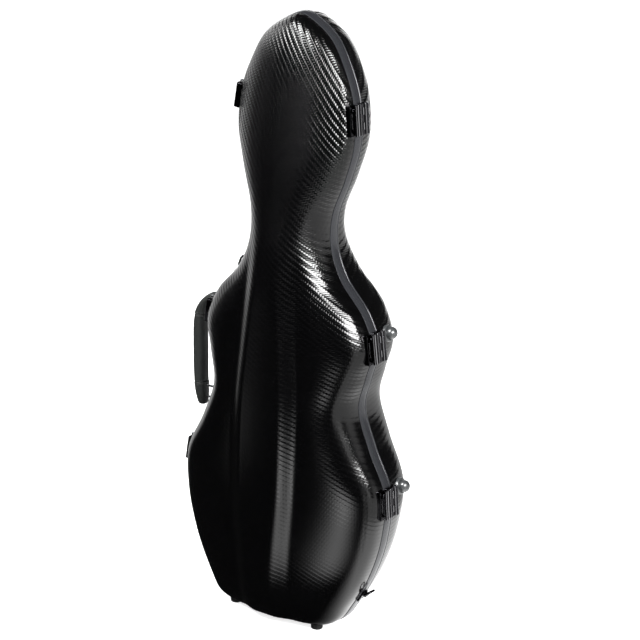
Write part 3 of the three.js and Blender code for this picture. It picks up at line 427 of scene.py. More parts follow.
def box(low, high):
    (x0, y0, z0), (x1, y1, z1) = low, high
    return extruded([(x0, y0), (x1, y0), (x1, y1), (x0, y1)], z0, z1, 2)


def panel(x, y, z, radius):
    """A plate in y and z with rounded corners, from one x to another; each is a (low, high) pair."""
    outline = [(y[0], z[0]), (y[1], z[0]), (y[1], z[1]), (y[0], z[1])]
    return extruded(rounded(outline, radius, 5), *x, 0)


def screw(centre, radius, rise):
    """A domed screw head with a cross recess, facing out along x."""
    sides, recess = 40, 0.45 * radius
    rows = np.array([0.0, 0.16, 0.3, 0.44, 0.56, 0.68, 0.82, 0.93, 1.0])
    points = [(rise - recess, 0.0, 0.0)]
    for share in rows[1:]:
        for j in range(sides):
            turn = j / sides * 2 * math.pi
            y, z = share * radius * math.cos(turn), share * radius * math.sin(turn)
            in_cross = min(abs(y), abs(z)) < 0.17 * radius and share < 0.6
            dome = rise * (1 - 0.45 * share**2.4)
            points.append((dome - (recess if in_cross else 0), y, z))
    points += [(-rise, y, z) for _, y, z in points[-sides:]] + [(-rise, 0.0, 0.0)]
    faces = [(0, 1 + j, 1 + (j + 1) % sides) for j in range(sides)]
    for i in range(len(rows) - 1):
        low, high = 1 + i * sides, 1 + (i + 1) * sides
        faces += [(low + j, high + j, high + (j + 1) % sides, low + (j + 1) % sides) for j in range(sides)]
    last = 1 + (len(rows) - 1) * sides
    faces += [(last + j, len(points) - 1, last + (j + 1) % sides) for j in range(sides)]
    return np.array(points) + centre, faces


def wire(path, radius, normal, closed=False, sides=14):
    """A round wire along points that lie in one plane."""
    path = np.asarray(path, float)
    if closed:
        way = np.roll(path, -1, 0) - np.roll(path, 1, 0)
    else:
        way = np.gradient(path, axis=0)
    way /= np.linalg.norm(way, axis=1, keepdims=True)
    normal = np.asarray(normal, float)
    side = np.cross(normal, way)
    side /= np.linalg.norm(side, axis=1, keepdims=True)
    angle = np.arange(sides) / sides * 2 * math.pi
    radii = np.broadcast_to(radius, (len(path),))[:, None, None]
    rings = path[:, None] + radii * (
        np.cos(angle)[None, :, None] * side[:, None] + np.sin(angle)[None, :, None] * normal
    )
    if closed:
        return rings.reshape(-1, 3), ring_faces(len(path), sides, closed)
    return lofted(rings)


def joined(parts):
    points, faces, first = [], [], 0
    for part_points, part_faces in parts:
        points.append(np.asarray(part_points, float).reshape(-1, 3))
        faces += [tuple(first + corner for corner in face) for face in part_faces]
        first += len(points[-1])
    return np.concatenate(points), faces


def fitting(name, seat, parts, rounding=None, smooth_degrees=None):
    """One object of several closed forms in a fitting's own axes, its sharp edges rounded by rounding."""
    points, faces = joined(parts)
    made = new_object(name, seat.points(points), faces, smooth_degrees=smooth_degrees)
    if rounding:
        bevel = made.modifiers.new("Rounding", "BEVEL")
        bevel.width = rounding
        bevel.segments = 2
        bevel.limit_method = "ANGLE"
        bevel.angle_limit = math.radians(38)
        bevel.harden_normals = True
    return made


def stitches(path, lifts, normal, length):
    """Short threads along a path, lifted off the leather by the way out at each of its points."""
    radius, gap_share = 0.32, 0.3
    taper = np.array([0.55, 0.95, 1, 0.95, 0.55])
    path, lifts = np.asarray(path, float), np.asarray(lifts, float)
    walked = walked_along(path)
    count = max(1, int(walked[-1] // length))
    parts = []
    for i in range(count):
        at = (i + np.linspace(gap_share / 2, 1 - gap_share / 2, 5)) / count * walked[-1]
        line, lift = (
            np.stack([np.interp(at, walked, column) for column in rows.T], 1) for rows in (path, lifts)
        )
        line += lift * (np.sin(np.linspace(0, math.pi, 5)) * radius * 1.3 - radius * 0.6)[:, None]
        parts.append(wire(line, radius * taper, normal, sides=6))
    return parts


class Graph:
    """A short way to add nodes and links to a node tree."""

    def __init__(self, tree):
        self.tree = tree

    def node(self, kind, settings=None, **inputs):
        made = self.tree.nodes.new(kind)
        for key, value in (settings or {}).items():
            setattr(made, key, value)
        for key, value in inputs.items():
            self.put(made.inputs[key.replace("_", " ")], value)
        return made

    def put(self, socket, value):
        if isinstance(value, bpy.types.NodeSocket):
            self.tree.links.new(value, socket)
        else:
            socket.default_value = value

    def math(self, operation, *values):
        made = self.tree.nodes.new("ShaderNodeMath")
        made.operation = operation
        for socket, value in zip(made.inputs, values):
            self.put(socket, value)
        return made.outputs[0]

    def total(self, *values):
        return functools.reduce(lambda first, second: self.math("ADD", first, second), values)

    def times(self, *values):
        return functools.reduce(lambda first, second: self.math("MULTIPLY", first, second), values)

    def mix(self, factor, first, second):
        """A colour between two colours."""
        made = self.tree.nodes.new("ShaderNodeMix")
        made.data_type = "RGBA"
        sockets = {socket.name: socket for socket in made.inputs if socket.enabled}
        for name, value in (("Factor", factor), ("A", first), ("B", second)):
            self.put(sockets[name], value)
        return next(socket for socket in made.outputs if socket.enabled)

    def between(self, value, low, high):
        """A value from 0 to 1 as one between low and high."""
        made = self.tree.nodes.new("ShaderNodeMapRange")
        for key, number in (("Value", value), ("To Min", low), ("To Max", high)):
            self.put(made.inputs[key], number)
        return made.outputs[0]

    def step(self, value, low, high):
        """A soft step from 0 at low to 1 at high."""
        made = self.node("ShaderNodeMapRange", {"interpolation_type": "SMOOTHSTEP"})
        for key, number in (("Value", value), ("From Min", low), ("From Max", high)):
            self.put(made.inputs[key], number)
        return made.outputs[0]


def new_group(name, inputs, outputs):
    tree = bpy.data.node_groups.new(name, "ShaderNodeTree")
    for label, kind, default in inputs:
        socket = tree.interface.new_socket(label, in_out="INPUT", socket_type=kind)
        if default is not None:
            socket.default_value = default
    for label in outputs:
        tree.interface.new_socket(label, in_out="OUTPUT", socket_type="NodeSocketFloat")
    graph = Graph(tree)
    return graph, graph.node("NodeGroupInput"), graph.node("NodeGroupOutput")


def twill_group():
    """Relief of a two-over-two weave: each strip shows for two strips, and the next is one strip on."""
    graph, given, made = new_group(
        "Twill Relief",
        [
            ("Weave", "NodeSocketVector", None), ("Tow Width", "NodeSocketFloat", 0.002),
            ("Ridge", "NodeSocketFloat", 1.0),
        ],
        ["Height", "Warp"],
    )
    place = graph.node("ShaderNodeSeparateXYZ", Vector=given.outputs["Weave"])
    u = graph.math("DIVIDE", place.outputs["X"], given.outputs["Tow Width"])
    v = graph.math("DIVIDE", place.outputs["Y"], given.outputs["Tow Width"])
    column, row = graph.math("FLOOR", u), graph.math("FLOOR", v)
    repeat = 4.0
    step = graph.math("FLOORED_MODULO", graph.total(column, row), repeat)
    warp = graph.math("LESS_THAN", step, repeat / 2)

    def strip(run, across):
        rise = graph.math("SINE", graph.times(run, math.pi / 2))
        side = graph.total(graph.times(graph.math("FRACT", across), 2.0), -1.0)
        crown = graph.math("SUBTRACT", 1.0, graph.times(side, side))
        return graph.times(rise, graph.math("SQRT", crown))

    warp_run = graph.math("FLOORED_MODULO", graph.total(column, v), repeat)
    weft_run = graph.math("FLOORED_MODULO", graph.total(u, row, -repeat / 2), repeat)
    over = graph.times(warp, strip(warp_run, u))
    under = graph.times(graph.math("SUBTRACT", 1.0, warp), strip(weft_run, v))
    tow = graph.math("MAXIMUM", graph.total(over, under), 0.0)
    # The strips that lie on top line up as ridges down the diagonal
    diagonal = graph.times(graph.total(u, v), math.pi / 2)
    ridge = graph.times(graph.total(graph.math("SINE", diagonal), 1.0), 0.5)
    graph.put(made.inputs["Height"], graph.total(graph.times(ridge, given.outputs["Ridge"]), tow))
    graph.put(made.inputs["Warp"], warp)
    return graph.tree


def grain_group():
    """Fine mottling and soft marks from handling, from an object's own coordinates; the velvet paints its nap
    sheen from the soft marks.
    """
    graph, given, made = new_group(
        "Surface Grain",
        [("Place", "NodeSocketVector", None), ("Grain Size", "NodeSocketFloat", 0.001)],
        ["Grain", "Marks"],
    )
    scale = graph.math("DIVIDE", 1.0, given.outputs["Grain Size"])
    fine = graph.node("ShaderNodeTexNoise", Vector=given.outputs["Place"], Scale=scale, Detail=3.0)
    soft = graph.node("ShaderNodeTexNoise", Vector=given.outputs["Place"], Scale=28.0, Detail=4.0)
    graph.put(made.inputs["Grain"], fine.outputs["Fac"])
    graph.put(made.inputs["Marks"], soft.outputs["Fac"])
    return graph.tree


def wear_group():
    """Where outer edges are rubbed bright, broken up by soft marks."""
    graph, given, made = new_group(
        "Edge Wear",
        [("Place", "NodeSocketVector", None), ("Amount", "NodeSocketFloat", 0.5)],
        ["Wear"],
    )
    edge = graph.step(graph.node("ShaderNodeNewGeometry").outputs["Pointiness"], 0.53, 0.64)
    marks = graph.node("ShaderNodeTexNoise", Vector=given.outputs["Place"], Scale=320.0, Detail=4.0)
    broken = graph.step(marks.outputs["Fac"], 0.35, 0.65)
    graph.put(made.inputs["Wear"], graph.times(edge, broken, given.outputs["Amount"]))
    return graph.tree


GROUPS = {}
MATERIALS = {}
GROUP_MAKERS = {"twill": twill_group, "grain": grain_group, "wear": wear_group}


def group(graph, name, **inputs):
    """Places a shared effect in a material with its own values."""
    if name not in GROUPS:
        GROUPS[name] = GROUP_MAKERS[name]()
    return graph.node("ShaderNodeGroup", {"node_tree": GROUPS[name]}, **inputs)


def new_material(name, **shader):
    """A material with one Principled shader, whose plain numbers are set on its own sockets."""
    material = bpy.data.materials.new(name)
    material.use_nodes = True
    graph = Graph(material.node_tree)
    bsdf = material.node_tree.nodes["Principled BSDF"]
    for key, value in shader.items():
        bsdf.inputs[key.replace("_", " ")].default_value = value
    return material, graph, bsdf


def place_of(graph):
    return graph.node("ShaderNodeTexCoord").outputs["Object"]


def bump(graph, height, distance, strength=1.0):
    made = graph.node("ShaderNodeBump", Height=height, Distance=distance, Strength=strength)
    return made.outputs["Normal"]


def toned(colour, share):
    return tuple(min(1, value * share) for value in colour) + (1.0,)


def surfaced(graph, bsdf, tone, marks, gloss, relief):
    """Joins the shader to its colour, to marks spread over a range of roughness and to its relief."""
    graph.put(bsdf.inputs["Base Color"], tone)
    graph.put(bsdf.inputs["Roughness"], graph.between(marks, *gloss))
    graph.put(bsdf.inputs["Normal"], bump(graph, *relief))


def shell_material(context):
    sizes, colours = context.scene.case_sizes, context.scene.case_colours
    material, graph, bsdf = new_material("Woven Black Gloss", IOR=1.5)
    weave = graph.node("ShaderNodeAttribute", {"attribute_name": "weave"})
    twill = group(graph, "twill", Weave=weave.outputs["Vector"], Tow_Width=sizes.tow_width, Ridge=1.6)
    grain = group(graph, "grain", Place=place_of(graph), Grain_Size=0.004)
    tone = graph.mix(twill.outputs["Warp"], toned(colours.shell, 0.7), toned(colours.shell, 1.3))
    depth = graph.node("ShaderNodeSeparateXYZ", Vector=weave.outputs["Vector"]).outputs["Z"]
    relief = graph.times(twill.outputs["Height"], depth), sizes.relief
    surfaced(graph, bsdf, tone, grain.outputs["Marks"], (0.12, 0.19), relief)
    return material


def plain_material(name, colour, grain_size, roughness, relief, wear=0.0, rubbed_share=3.0, **shader):
    """A material of one colour with fine grain, soft marks in its gloss and worn edges."""
    material, graph, bsdf = new_material(name, **shader)
    place = place_of(graph)
    grain = group(graph, "grain", Place=place, Grain_Size=grain_size)
    tone = graph.mix(grain.outputs["Grain"], toned(colour, 0.8), toned(colour, 1.2))
    if wear:
        rubbed = group(graph, "wear", Place=place, Amount=wear)
        tone = graph.mix(rubbed.outputs["Wear"], tone, toned(colour, rubbed_share))
    surfaced(graph, bsdf, tone, grain.outputs["Marks"], roughness, (grain.outputs["Grain"], relief, 0.5))
    return material


def leather_material(context):
    """Pebbled leather with fine creases, which are painted darker as painted shade while the pebble tops are
    painted lighter.
    """
    colour = context.scene.case_colours.leather
    material, graph, bsdf = new_material("Black Leather", IOR=1.45)
    place = place_of(graph)
    pebbles = graph.node("ShaderNodeTexVoronoi", {"feature": "DISTANCE_TO_EDGE"}, Vector=place, Scale=900.0)
    crease = graph.step(pebbles.outputs["Distance"], 0.0, 0.28)
    grain = group(graph, "grain", Place=place, Grain_Size=0.0006)
    rubbed = group(graph, "wear", Place=place, Amount=0.5)
    # Painted shade: the creases between pebbles are darkened to half the colour and the pebble tops
    # lightened; the rubbed edges below are real wear
    tone = graph.mix(crease, toned(colour, 0.5), toned(colour, 1.25))
    tone = graph.mix(rubbed.outputs["Wear"], tone, toned(colour, 2.2))
    height = graph.total(crease, graph.times(grain.outputs["Grain"], 0.3))
    surfaced(graph, bsdf, tone, grain.outputs["Marks"], (0.5, 0.66), (height, 0.00012))
    return material


def velvet_material(name, colour, pile):
    """Short pile with painted sheen: light and dark patches where the nap would catch the light differently,
    painted into its colour.
    """
    material, graph, bsdf = new_material(
        name, Sheen_Weight=0.55, Sheen_Roughness=0.4, Sheen_Tint=toned(colour, 5.0), Specular_IOR_Level=0.15,
    )
    place = place_of(graph)
    grain = group(graph, "grain", Place=place, Grain_Size=pile)
    # Painted sheen: soft light and dark patches of the pile, painted into the colour beside the fibres'
    # random tone
    nap_sheen = graph.times(graph.step(grain.outputs["Marks"], 0.2, 0.8), 0.35)
    fibre = graph.times(grain.outputs["Grain"], 0.65)
    tone = graph.mix(graph.total(nap_sheen, fibre), toned(colour, 0.7), toned(colour, 1.3))
    fibres = grain.outputs["Grain"]
    surfaced(graph, bsdf, tone, fibres, (0.85, 1.0), (fibres, pile * 0.4))
    return material


def webbing_material(context):
    """Woven ribbon, whose threads follow the length of the ribbon; the hollows between threads are painted
    darker as painted shade.
    """
    colour = context.scene.case_colours.lining
    material, graph, bsdf = new_material(
        "Wine Ribbon", Sheen_Weight=0.15, Sheen_Tint=toned(colour, 5.0), Specular_IOR_Level=0.2,
    )
    weave = graph.node("ShaderNodeAttribute", {"attribute_name": "weave"})
    twill = group(graph, "twill", Weave=weave.outputs["Vector"], Tow_Width=0.0006, Ridge=0.2)
    grain = group(graph, "grain", Place=place_of(graph), Grain_Size=0.002)
    # Painted shade: the hollows of the weave are darkened to a third of the colour and the raised threads
    # kept near it
    tone = graph.mix(twill.outputs["Height"], toned(colour, 0.35), toned(colour, 1.1))
    surfaced(graph, bsdf, tone, grain.outputs["Marks"], (0.6, 0.8), (twill.outputs["Height"], 0.0002))
    return material


FINISH_SLOTS = {
    "shell": "shell", "band": "band", "rubber": "rubber", "nickel": "metal", "polished": "metal",
    "steel": "steel", "bumper": "bumper", "leather": "leather", "thread": "leather", "velvet": "lining",
    "flock": "foam", "webbing": "lining",
}


def material(name, context):
    """The material of one finish, made once."""
    colours = context.scene.case_colours
    # Label, colour, grain size, range of roughness, relief, share of the edges rubbed and how bright
    plain = {
        "band": (("Satin Band", colours.band, 0.0006, (0.2, 0.28), 0.00002, 0.4), {"Metallic": 0.3}),
        "rubber": (("Black Rubber", colours.rubber, 0.0008, (0.5, 0.7), 0.00005), {}),
        "nickel": (
            ("Black Nickel", colours.nickel, 0.0004, (0.07, 0.14), 0.00001, 0.9, 7.0), {"Metallic": 1.0},
        ),
        "polished": (
            ("Polished Nickel", (0.3, 0.3, 0.31), 0.0005, (0.08, 0.16), 0.00001), {"Metallic": 1.0},
        ),
        "steel": (("Bright Steel", (0.6, 0.61, 0.63), 0.0005, (0.1, 0.22), 0.00001), {"Metallic": 1.0}),
        "bumper": (
            ("Bumper Gloss", (0.03, 0.032, 0.033), 0.001, (0.24, 0.32), 0.00001, 0.3),
            {"Specular_IOR_Level": 1.0},
        ),
        "thread": (("Waxed Thread", (0.03, 0.032, 0.031), 0.0004, (0.5, 0.7), 0.0001), {}),
    }
    special = {
        "shell": lambda: shell_material(context),
        "leather": lambda: leather_material(context),
        "velvet": lambda: velvet_material("Wine Velvet", colours.lining, 0.0006),
        "flock": lambda: velvet_material("Wine Flock", toned(colours.lining, 0.85)[:3], 0.0009),
        "webbing": lambda: webbing_material(context),
    }
    if name not in MATERIALS:
        if name in plain:
            values, shader = plain[name]
            MATERIALS[name] = plain_material(*values, **shader)
        else:
            MATERIALS[name] = special[name]()
    return MATERIALS[name]


def add_piece(context, name, seat, parts, body, finish, *replaced, rounding=None, smooth_degrees=38):
    """One piece made of closed forms, with its finish and body."""
    made = fitting(name, seat, parts, rounding, smooth_degrees)
    return finished(made, body, material(finish, context), FINISH_SLOTS[finish], *replaced)


class CASE_OT_stage(Operator):
    """Makes the camera, the lamps, the white floor and the plain surroundings"""

    bl_idname = "case.stage"
    bl_label = "Stage"

    def execute(self, context):
        scene = context.scene
        scene.view_settings.view_transform = "Standard"
        self.camera(scene)
        self.world(scene)
        self.floor(scene)
        self.lamps(scene)
        return {"FINISHED"}

    def camera(self, scene):
        turn, tilt, roll = (math.radians(value) for value in (CAMERA_TURN, CAMERA_TILT, CAMERA_ROLL))
        forward = Vector((-math.sin(turn) * math.cos(tilt), math.cos(turn) * math.cos(tilt), -math.sin(tilt)))
        right = Vector((math.cos(turn), math.sin(turn), 0))
        up = right.cross(forward)
        rolled_right = math.cos(roll) * right + math.sin(roll) * up
        rolled_up = math.cos(roll) * up - math.sin(roll) * right
        target = Vector(ORIGIN) + Vector((0, 0, CAMERA_TARGET_HEIGHT * MM))
        lens = bpy.data.cameras.new("Camera")
        lens.sensor_width = SENSOR_MM
        lens.lens = FOCAL_PIXELS / IMAGE_PIXELS * SENSOR_MM
        lens.shift_x = 0.5 - MIDDLE_PIXEL[0] / IMAGE_PIXELS
        lens.shift_y = MIDDLE_PIXEL[1] / IMAGE_PIXELS - 0.5
        lens.clip_end = 60
        camera = bpy.data.objects.new("Camera", lens)
        axes = Matrix((rolled_right, rolled_up, -forward)).transposed().to_4x4()
        camera.matrix_world = Matrix.Translation(target - forward * CAMERA_DISTANCE * MM) @ axes
        scene.collection.objects.link(camera)
        scene.camera = camera

    def world(self, scene):
        """White where the camera looks, and dim with a few soft bright places in reflections."""
        world = bpy.data.worlds.new("Studio")
        world.use_nodes = True
        graph = Graph(world.node_tree)
        world.node_tree.nodes.clear()
        path = graph.node("ShaderNodeLightPath")
        way = graph.node("ShaderNodeTexCoord").outputs["Generated"]

        def lobe(azimuth, elevation, edge, core, strength):
            """A round bright place that fades from its core to its edge, both in degrees."""
            turn, tilt = math.radians(azimuth), math.radians(elevation)
            towards = (math.sin(turn) * math.cos(tilt), -math.cos(turn) * math.cos(tilt), math.sin(tilt))
            near = graph.node("ShaderNodeVectorMath", {"operation": "DOT_PRODUCT"})
            graph.put(near.inputs[0], way)
            graph.put(near.inputs[1], towards)
            cosines = [math.cos(math.radians(angle)) for angle in (edge, core)]
            return graph.times(graph.step(near.outputs["Value"], *cosines), strength)

        reflected = graph.total(
            0.04, lobe(112, 5, 20, 4, 0.75), lobe(68, 3, 14, 3, 1.4), lobe(-145, 0, 24, 12, 0.95)
        )
        mirror = graph.math("MAXIMUM", path.outputs["Is Glossy Ray"], path.outputs["Is Transmission Ray"])
        strength = graph.total(
            graph.times(mirror, reflected),
            path.outputs["Is Camera Ray"],
            graph.times(path.outputs["Is Diffuse Ray"], 0.3),
        )
        light = graph.node("ShaderNodeBackground", Color=(1, 1, 1, 1), Strength=strength)
        graph.node("ShaderNodeOutputWorld", Surface=light.outputs[0])
        scene.world = world

    def floor(self, scene):
        """A white floor that keeps the shadow; in reflections its light and dark sweeps show."""
        mesh = bpy.data.meshes.new("floor")
        made = bmesh.new()
        bmesh.ops.create_circle(made, cap_ends=True, radius=14, segments=96)
        made.to_mesh(mesh)
        made.free()
        floor = bpy.data.objects.new("floor", mesh)
        scene.collection.objects.link(floor)
        material, graph, bsdf = new_material("White Floor", Roughness=0.7)
        bsdf.inputs["Base Color"].default_value = (0.85, 0.85, 0.85, 1)
        bsdf.inputs["Specular IOR Level"].default_value = 0.1
        path = graph.node("ShaderNodeLightPath")
        place = graph.node("ShaderNodeSeparateXYZ", Vector=place_of(graph))
        x, y = place.outputs["X"], place.outputs["Y"]

        def across(a, b, offset=0.0):
            """Distance of a place along the way (a, b)."""
            return graph.total(graph.times(x, a), graph.times(y, b), -offset)

        def strip(start, end, widths, strength):
            """A bright strip from start to end that fades to its sides, with a width at either end."""
            length = math.dist(start, end)
            ux, uy = (end[0] - start[0]) / length, (end[1] - start[1]) / length
            run = graph.math("DIVIDE", across(ux, uy, start[0] * ux + start[1] * uy), length)
            side = across(-uy, ux, -start[0] * uy + start[1] * ux)
            width = graph.total(graph.times(run, widths[1] - widths[0]), widths[0])
            share = graph.math("DIVIDE", side, graph.math("MAXIMUM", width, 0.005))
            bell = graph.math("EXPONENT", graph.times(share, share, -0.5))
            ends = graph.times(graph.step(run, -0.15, 0.05), graph.step(run, 1.15, 0.95))
            return graph.times(bell, ends, strength)

        behind = graph.step(across(0.67, 0.74), 0.01, 0.09)
        distance = graph.math("SQRT", graph.total(graph.times(x, x), graph.times(y, y)))
        rear = graph.times(behind, graph.between(graph.step(distance, 0.38, 0.5), 2.3, 0.95))
        left = graph.times(graph.step(y, 0.1, 0.25), graph.step(x, -0.15, -0.25), 0.9)
        glow = graph.total(
            0.015, rear, left, strip((0.1, -0.2), (0.2, -0.48), (0.048, 0.062), 2.2),
            strip((0.2, -0.48), (0.27, -0.68), (0.066, 0.084), 3.7),
            strip((-0.42, -0.48), (-0.78, -0.84), (0.05, 0.09), 0.3),
        )
        seen_glow = graph.times(path.outputs["Is Camera Ray"], 0.8)
        seen = graph.node("ShaderNodeEmission", Color=(1, 1, 1, 1), Strength=seen_glow)
        lit = graph.node("ShaderNodeAddShader")
        graph.put(lit.inputs[0], bsdf.outputs[0])
        graph.put(lit.inputs[1], seen.outputs[0])
        mirrored_floor = graph.node("ShaderNodeEmission", Color=(1, 1, 1, 1), Strength=glow)
        mirror = graph.math("MAXIMUM", path.outputs["Is Glossy Ray"], path.outputs["Is Transmission Ray"])
        mixed = graph.node("ShaderNodeMixShader", Fac=mirror)
        graph.put(mixed.inputs[1], lit.outputs[0])
        graph.put(mixed.inputs[2], mirrored_floor.outputs[0])
        output = material.node_tree.nodes["Material Output"]
        graph.put(output.inputs["Surface"], mixed.outputs[0])
        mesh.materials.append(material)

    def lamps(self, scene):
        # Place, size, power and aim of each soft box, in metres and watts
        for name, place, size, power, aim in (
            ("key", (1.316, -0.479, 1.08), (0.85, 0.6), 50, (0, 0, 0.6)),
            ("front", (-0.363, -1.455, 2.05), (1.3, 0.9), 115, (0, 0, 0.65)),
            ("front_panel", (-0.266, -1.067, 1.1), (1.0, 0.46), 0.45, (0, 0, 1.0)),
            ("left_panel", (-1.19, 0.146, 1.17), (1.6, 0.85), 9, (0, 0, 1.1)),
            ("rear", (-0.513, 1.41, 0.9), (0.8, 0.5), 2, (0, 0, 0.5)),
        ):
            lamp = bpy.data.lights.new(name, "AREA")
            lamp.shape = "RECTANGLE"
            lamp.size, lamp.size_y = size
            lamp.energy = power
            made = bpy.data.objects.new(name, lamp)
            made.visible_camera = False
            made.location = place
            made.rotation_mode = "QUATERNION"
            made.rotation_quaternion = (Vector(aim) - Vector(place)).to_track_quat("-Z", "Y")
            scene.collection.objects.link(made)


class CASE_OT_shells(Operator):
    """Makes the lid and base shells with their woven relief"""

    bl_idname = "case.shells"
    bl_label = "Shells"

    def execute(self, context):
        for half, name, body in ((LID, "lid_shell", "lid"), (BASE, "base_shell", "base")):
            rings, _, weave = shell_rings(half, RING_COUNT)
            inner_rings, normals, inner_weave = shell_rings(half, INNER_RING_COUNT, crease=0.5)
            inner = (inner_rings - normals * WALL)[::-1]
            points = np.concatenate([rings, inner])
            shell = new_object(
                name + "_woven", points, ring_faces(len(points), SEAM_COUNT),
                weave=np.concatenate([weave, inner_weave[::-1]]), merge=1e-6, smooth_degrees=50,
            )
            finished(shell, body, material("shell", context), "shell", name)
        return {"FINISHED"}


class CASE_OT_rims(Operator):
    """Makes the band round the base, the channel in the lid and the seal in it"""

    bl_idname = "case.rims"
    bl_label = "Rims"

    def execute(self, context):
        crown = [(BAND_PROUD - abs((y - 9) / 9) ** 1.8, y) for y in np.linspace(12.6, 0, 9)]
        band = swept("seam_band", [
            (0.3, BAND_DEPTH), (1.05, BAND_DEPTH), (1.3, 15.2), (1.3, 14.2), (0.75, 13.8), (0.75, 13.2),
            *crown, (-5.9, 0), (-5.9, -2), (-8.3, -2), (-8.3, 0), (-9.5, 0), (-9.5, 2.4), (0.3, 2.4),
        ], 0.3)
        finished(band, "base", material("band", context), "band", "base_rim")
        channel = swept("lid_channel", [
            (-4.2, -0.5), (-5.4, -0.5), (-5.4, -4.9), (-8.8, -4.9), (-8.8, -0.5), (-10.0, -0.5),
            (-10.0, -7.0), (-4.2, -7.0),
        ], 0.25)
        finished(channel, "lid", material("rubber", context), "rubber", "lid_rim")
        seal = swept("lid_gasket", [(-5.7, -2.3), (-8.5, -2.3), (-8.5, -4.6), (-5.7, -4.6)], 0.7)
        finished(seal, "lid", material("rubber", context), "rubber", "lid_seal")
        return {"FINISHED"}


HINGE_NAMES = ("lower", "middle", "upper")
LATCH_SHARES = {"lower": 0.238, "middle": 0.491, "upper": 0.849}
BUMPER_SHARES = {"middle": 0.503, "lower": 0.252}
# Share of the height and side of the case, right (1) or left (-1)
STRAP_PLACES = {"shoulder": (0.565, -1), "lower": (0.062, 1)}
FOOT_ACROSS, FOOT_PLACES = 64.0, {"lid": -16.0, "base": 28.0}
HANDLE_LENGTH, HANDLE_LINK_INSET, HANDLE_SHARE = 155.0, 18.5, 0.407
HANDLE_OUT, HANDLE_ENDS, HANDLE_BACK = 34.0, (9.0, 29.0), 24.0
EYE_OUT = 6.2
LINING_OUTER, LINING_THICK = 3.2, 8.0
FOAM_TOP = 3.0
COVER_SHARES, NECK_BLOCK_SHARE = (0.8338, 0.9284), 0.5806
BOW_CLIP_SHARE, BOW_SLEEVE_SHARE, BOW_SLEEVE_LENGTH = 0.1432, 0.8542, 52


def node_middle(name):
    """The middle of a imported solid, in the case's own millimetres."""
    low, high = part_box(name)
    return (np.array(low + high) / 2 - ORIGIN) / MM


class CASE_OT_hinges(Operator):
    """Makes the three hinges: two leaves with interleaved knuckles, countersunk screws and a pin each"""

    bl_idname = "case.hinges"
    bl_label = "Hinges"

    def execute(self, context):
        edge = context.scene.case_sizes.edge
        centres = {name: node_middle(f"hinge_{name}_pin") for name in HINGE_NAMES}
        lean = centres["upper"] - centres["lower"]
        lean /= np.linalg.norm(lean)
        out = np.array([-lean[2], 0, lean[0]])
        half, front, knuckle, bore = 16, 3.5, 2.8, 1.5
        axis, pitch, gap = (4.9, 0, 0), 2 * half / 3, 0.15
        head = [(0, 0.7), (0.9, 0.6), (1.6, 0.25), (1.7, -0.1), (0, -0.1)]
        for name, centre in centres.items():
            seat = Seat(centre - axis[0] * out, out)
            for body, side, kept in (("lid", -1, (1,)), ("base", 1, (0, 2))):
                parts = [panel((-3, front), sorted((side * knuckle, side * 13.8)), (-half, half), 2.2)]
                web = sorted((0, side * 3.4))
                for i in kept:
                    low = -half + i * pitch + (gap if i else 0)
                    high = -half + (i + 1) * pitch - (gap if i < 2 else 0)
                    parts.append(rod(low, high, knuckle, axis, bore=bore))
                    parts.append(box((2.1, web[0], low), (front, web[1], high)))
                add_piece(context, f"hinge_{name}_{body}_plate", seat, parts, body, "nickel",
                          f"hinge_{name}_{body}_leaf", rounding=edge)
                heads = [screw((front, side * 9.2, z), 2.1, 0.35) for z in (-10.5, 0, 10.5)]
                add_piece(context, f"hinge_{name}_{body}_screws", seat, heads, body, "steel")
            pin = headed_pin(half, 1.25, head, axis)
            add_piece(context, f"hinge_{name}_rod", seat, pin, "base", "steel", f"hinge_{name}_pin")
        return {"FINISHED"}


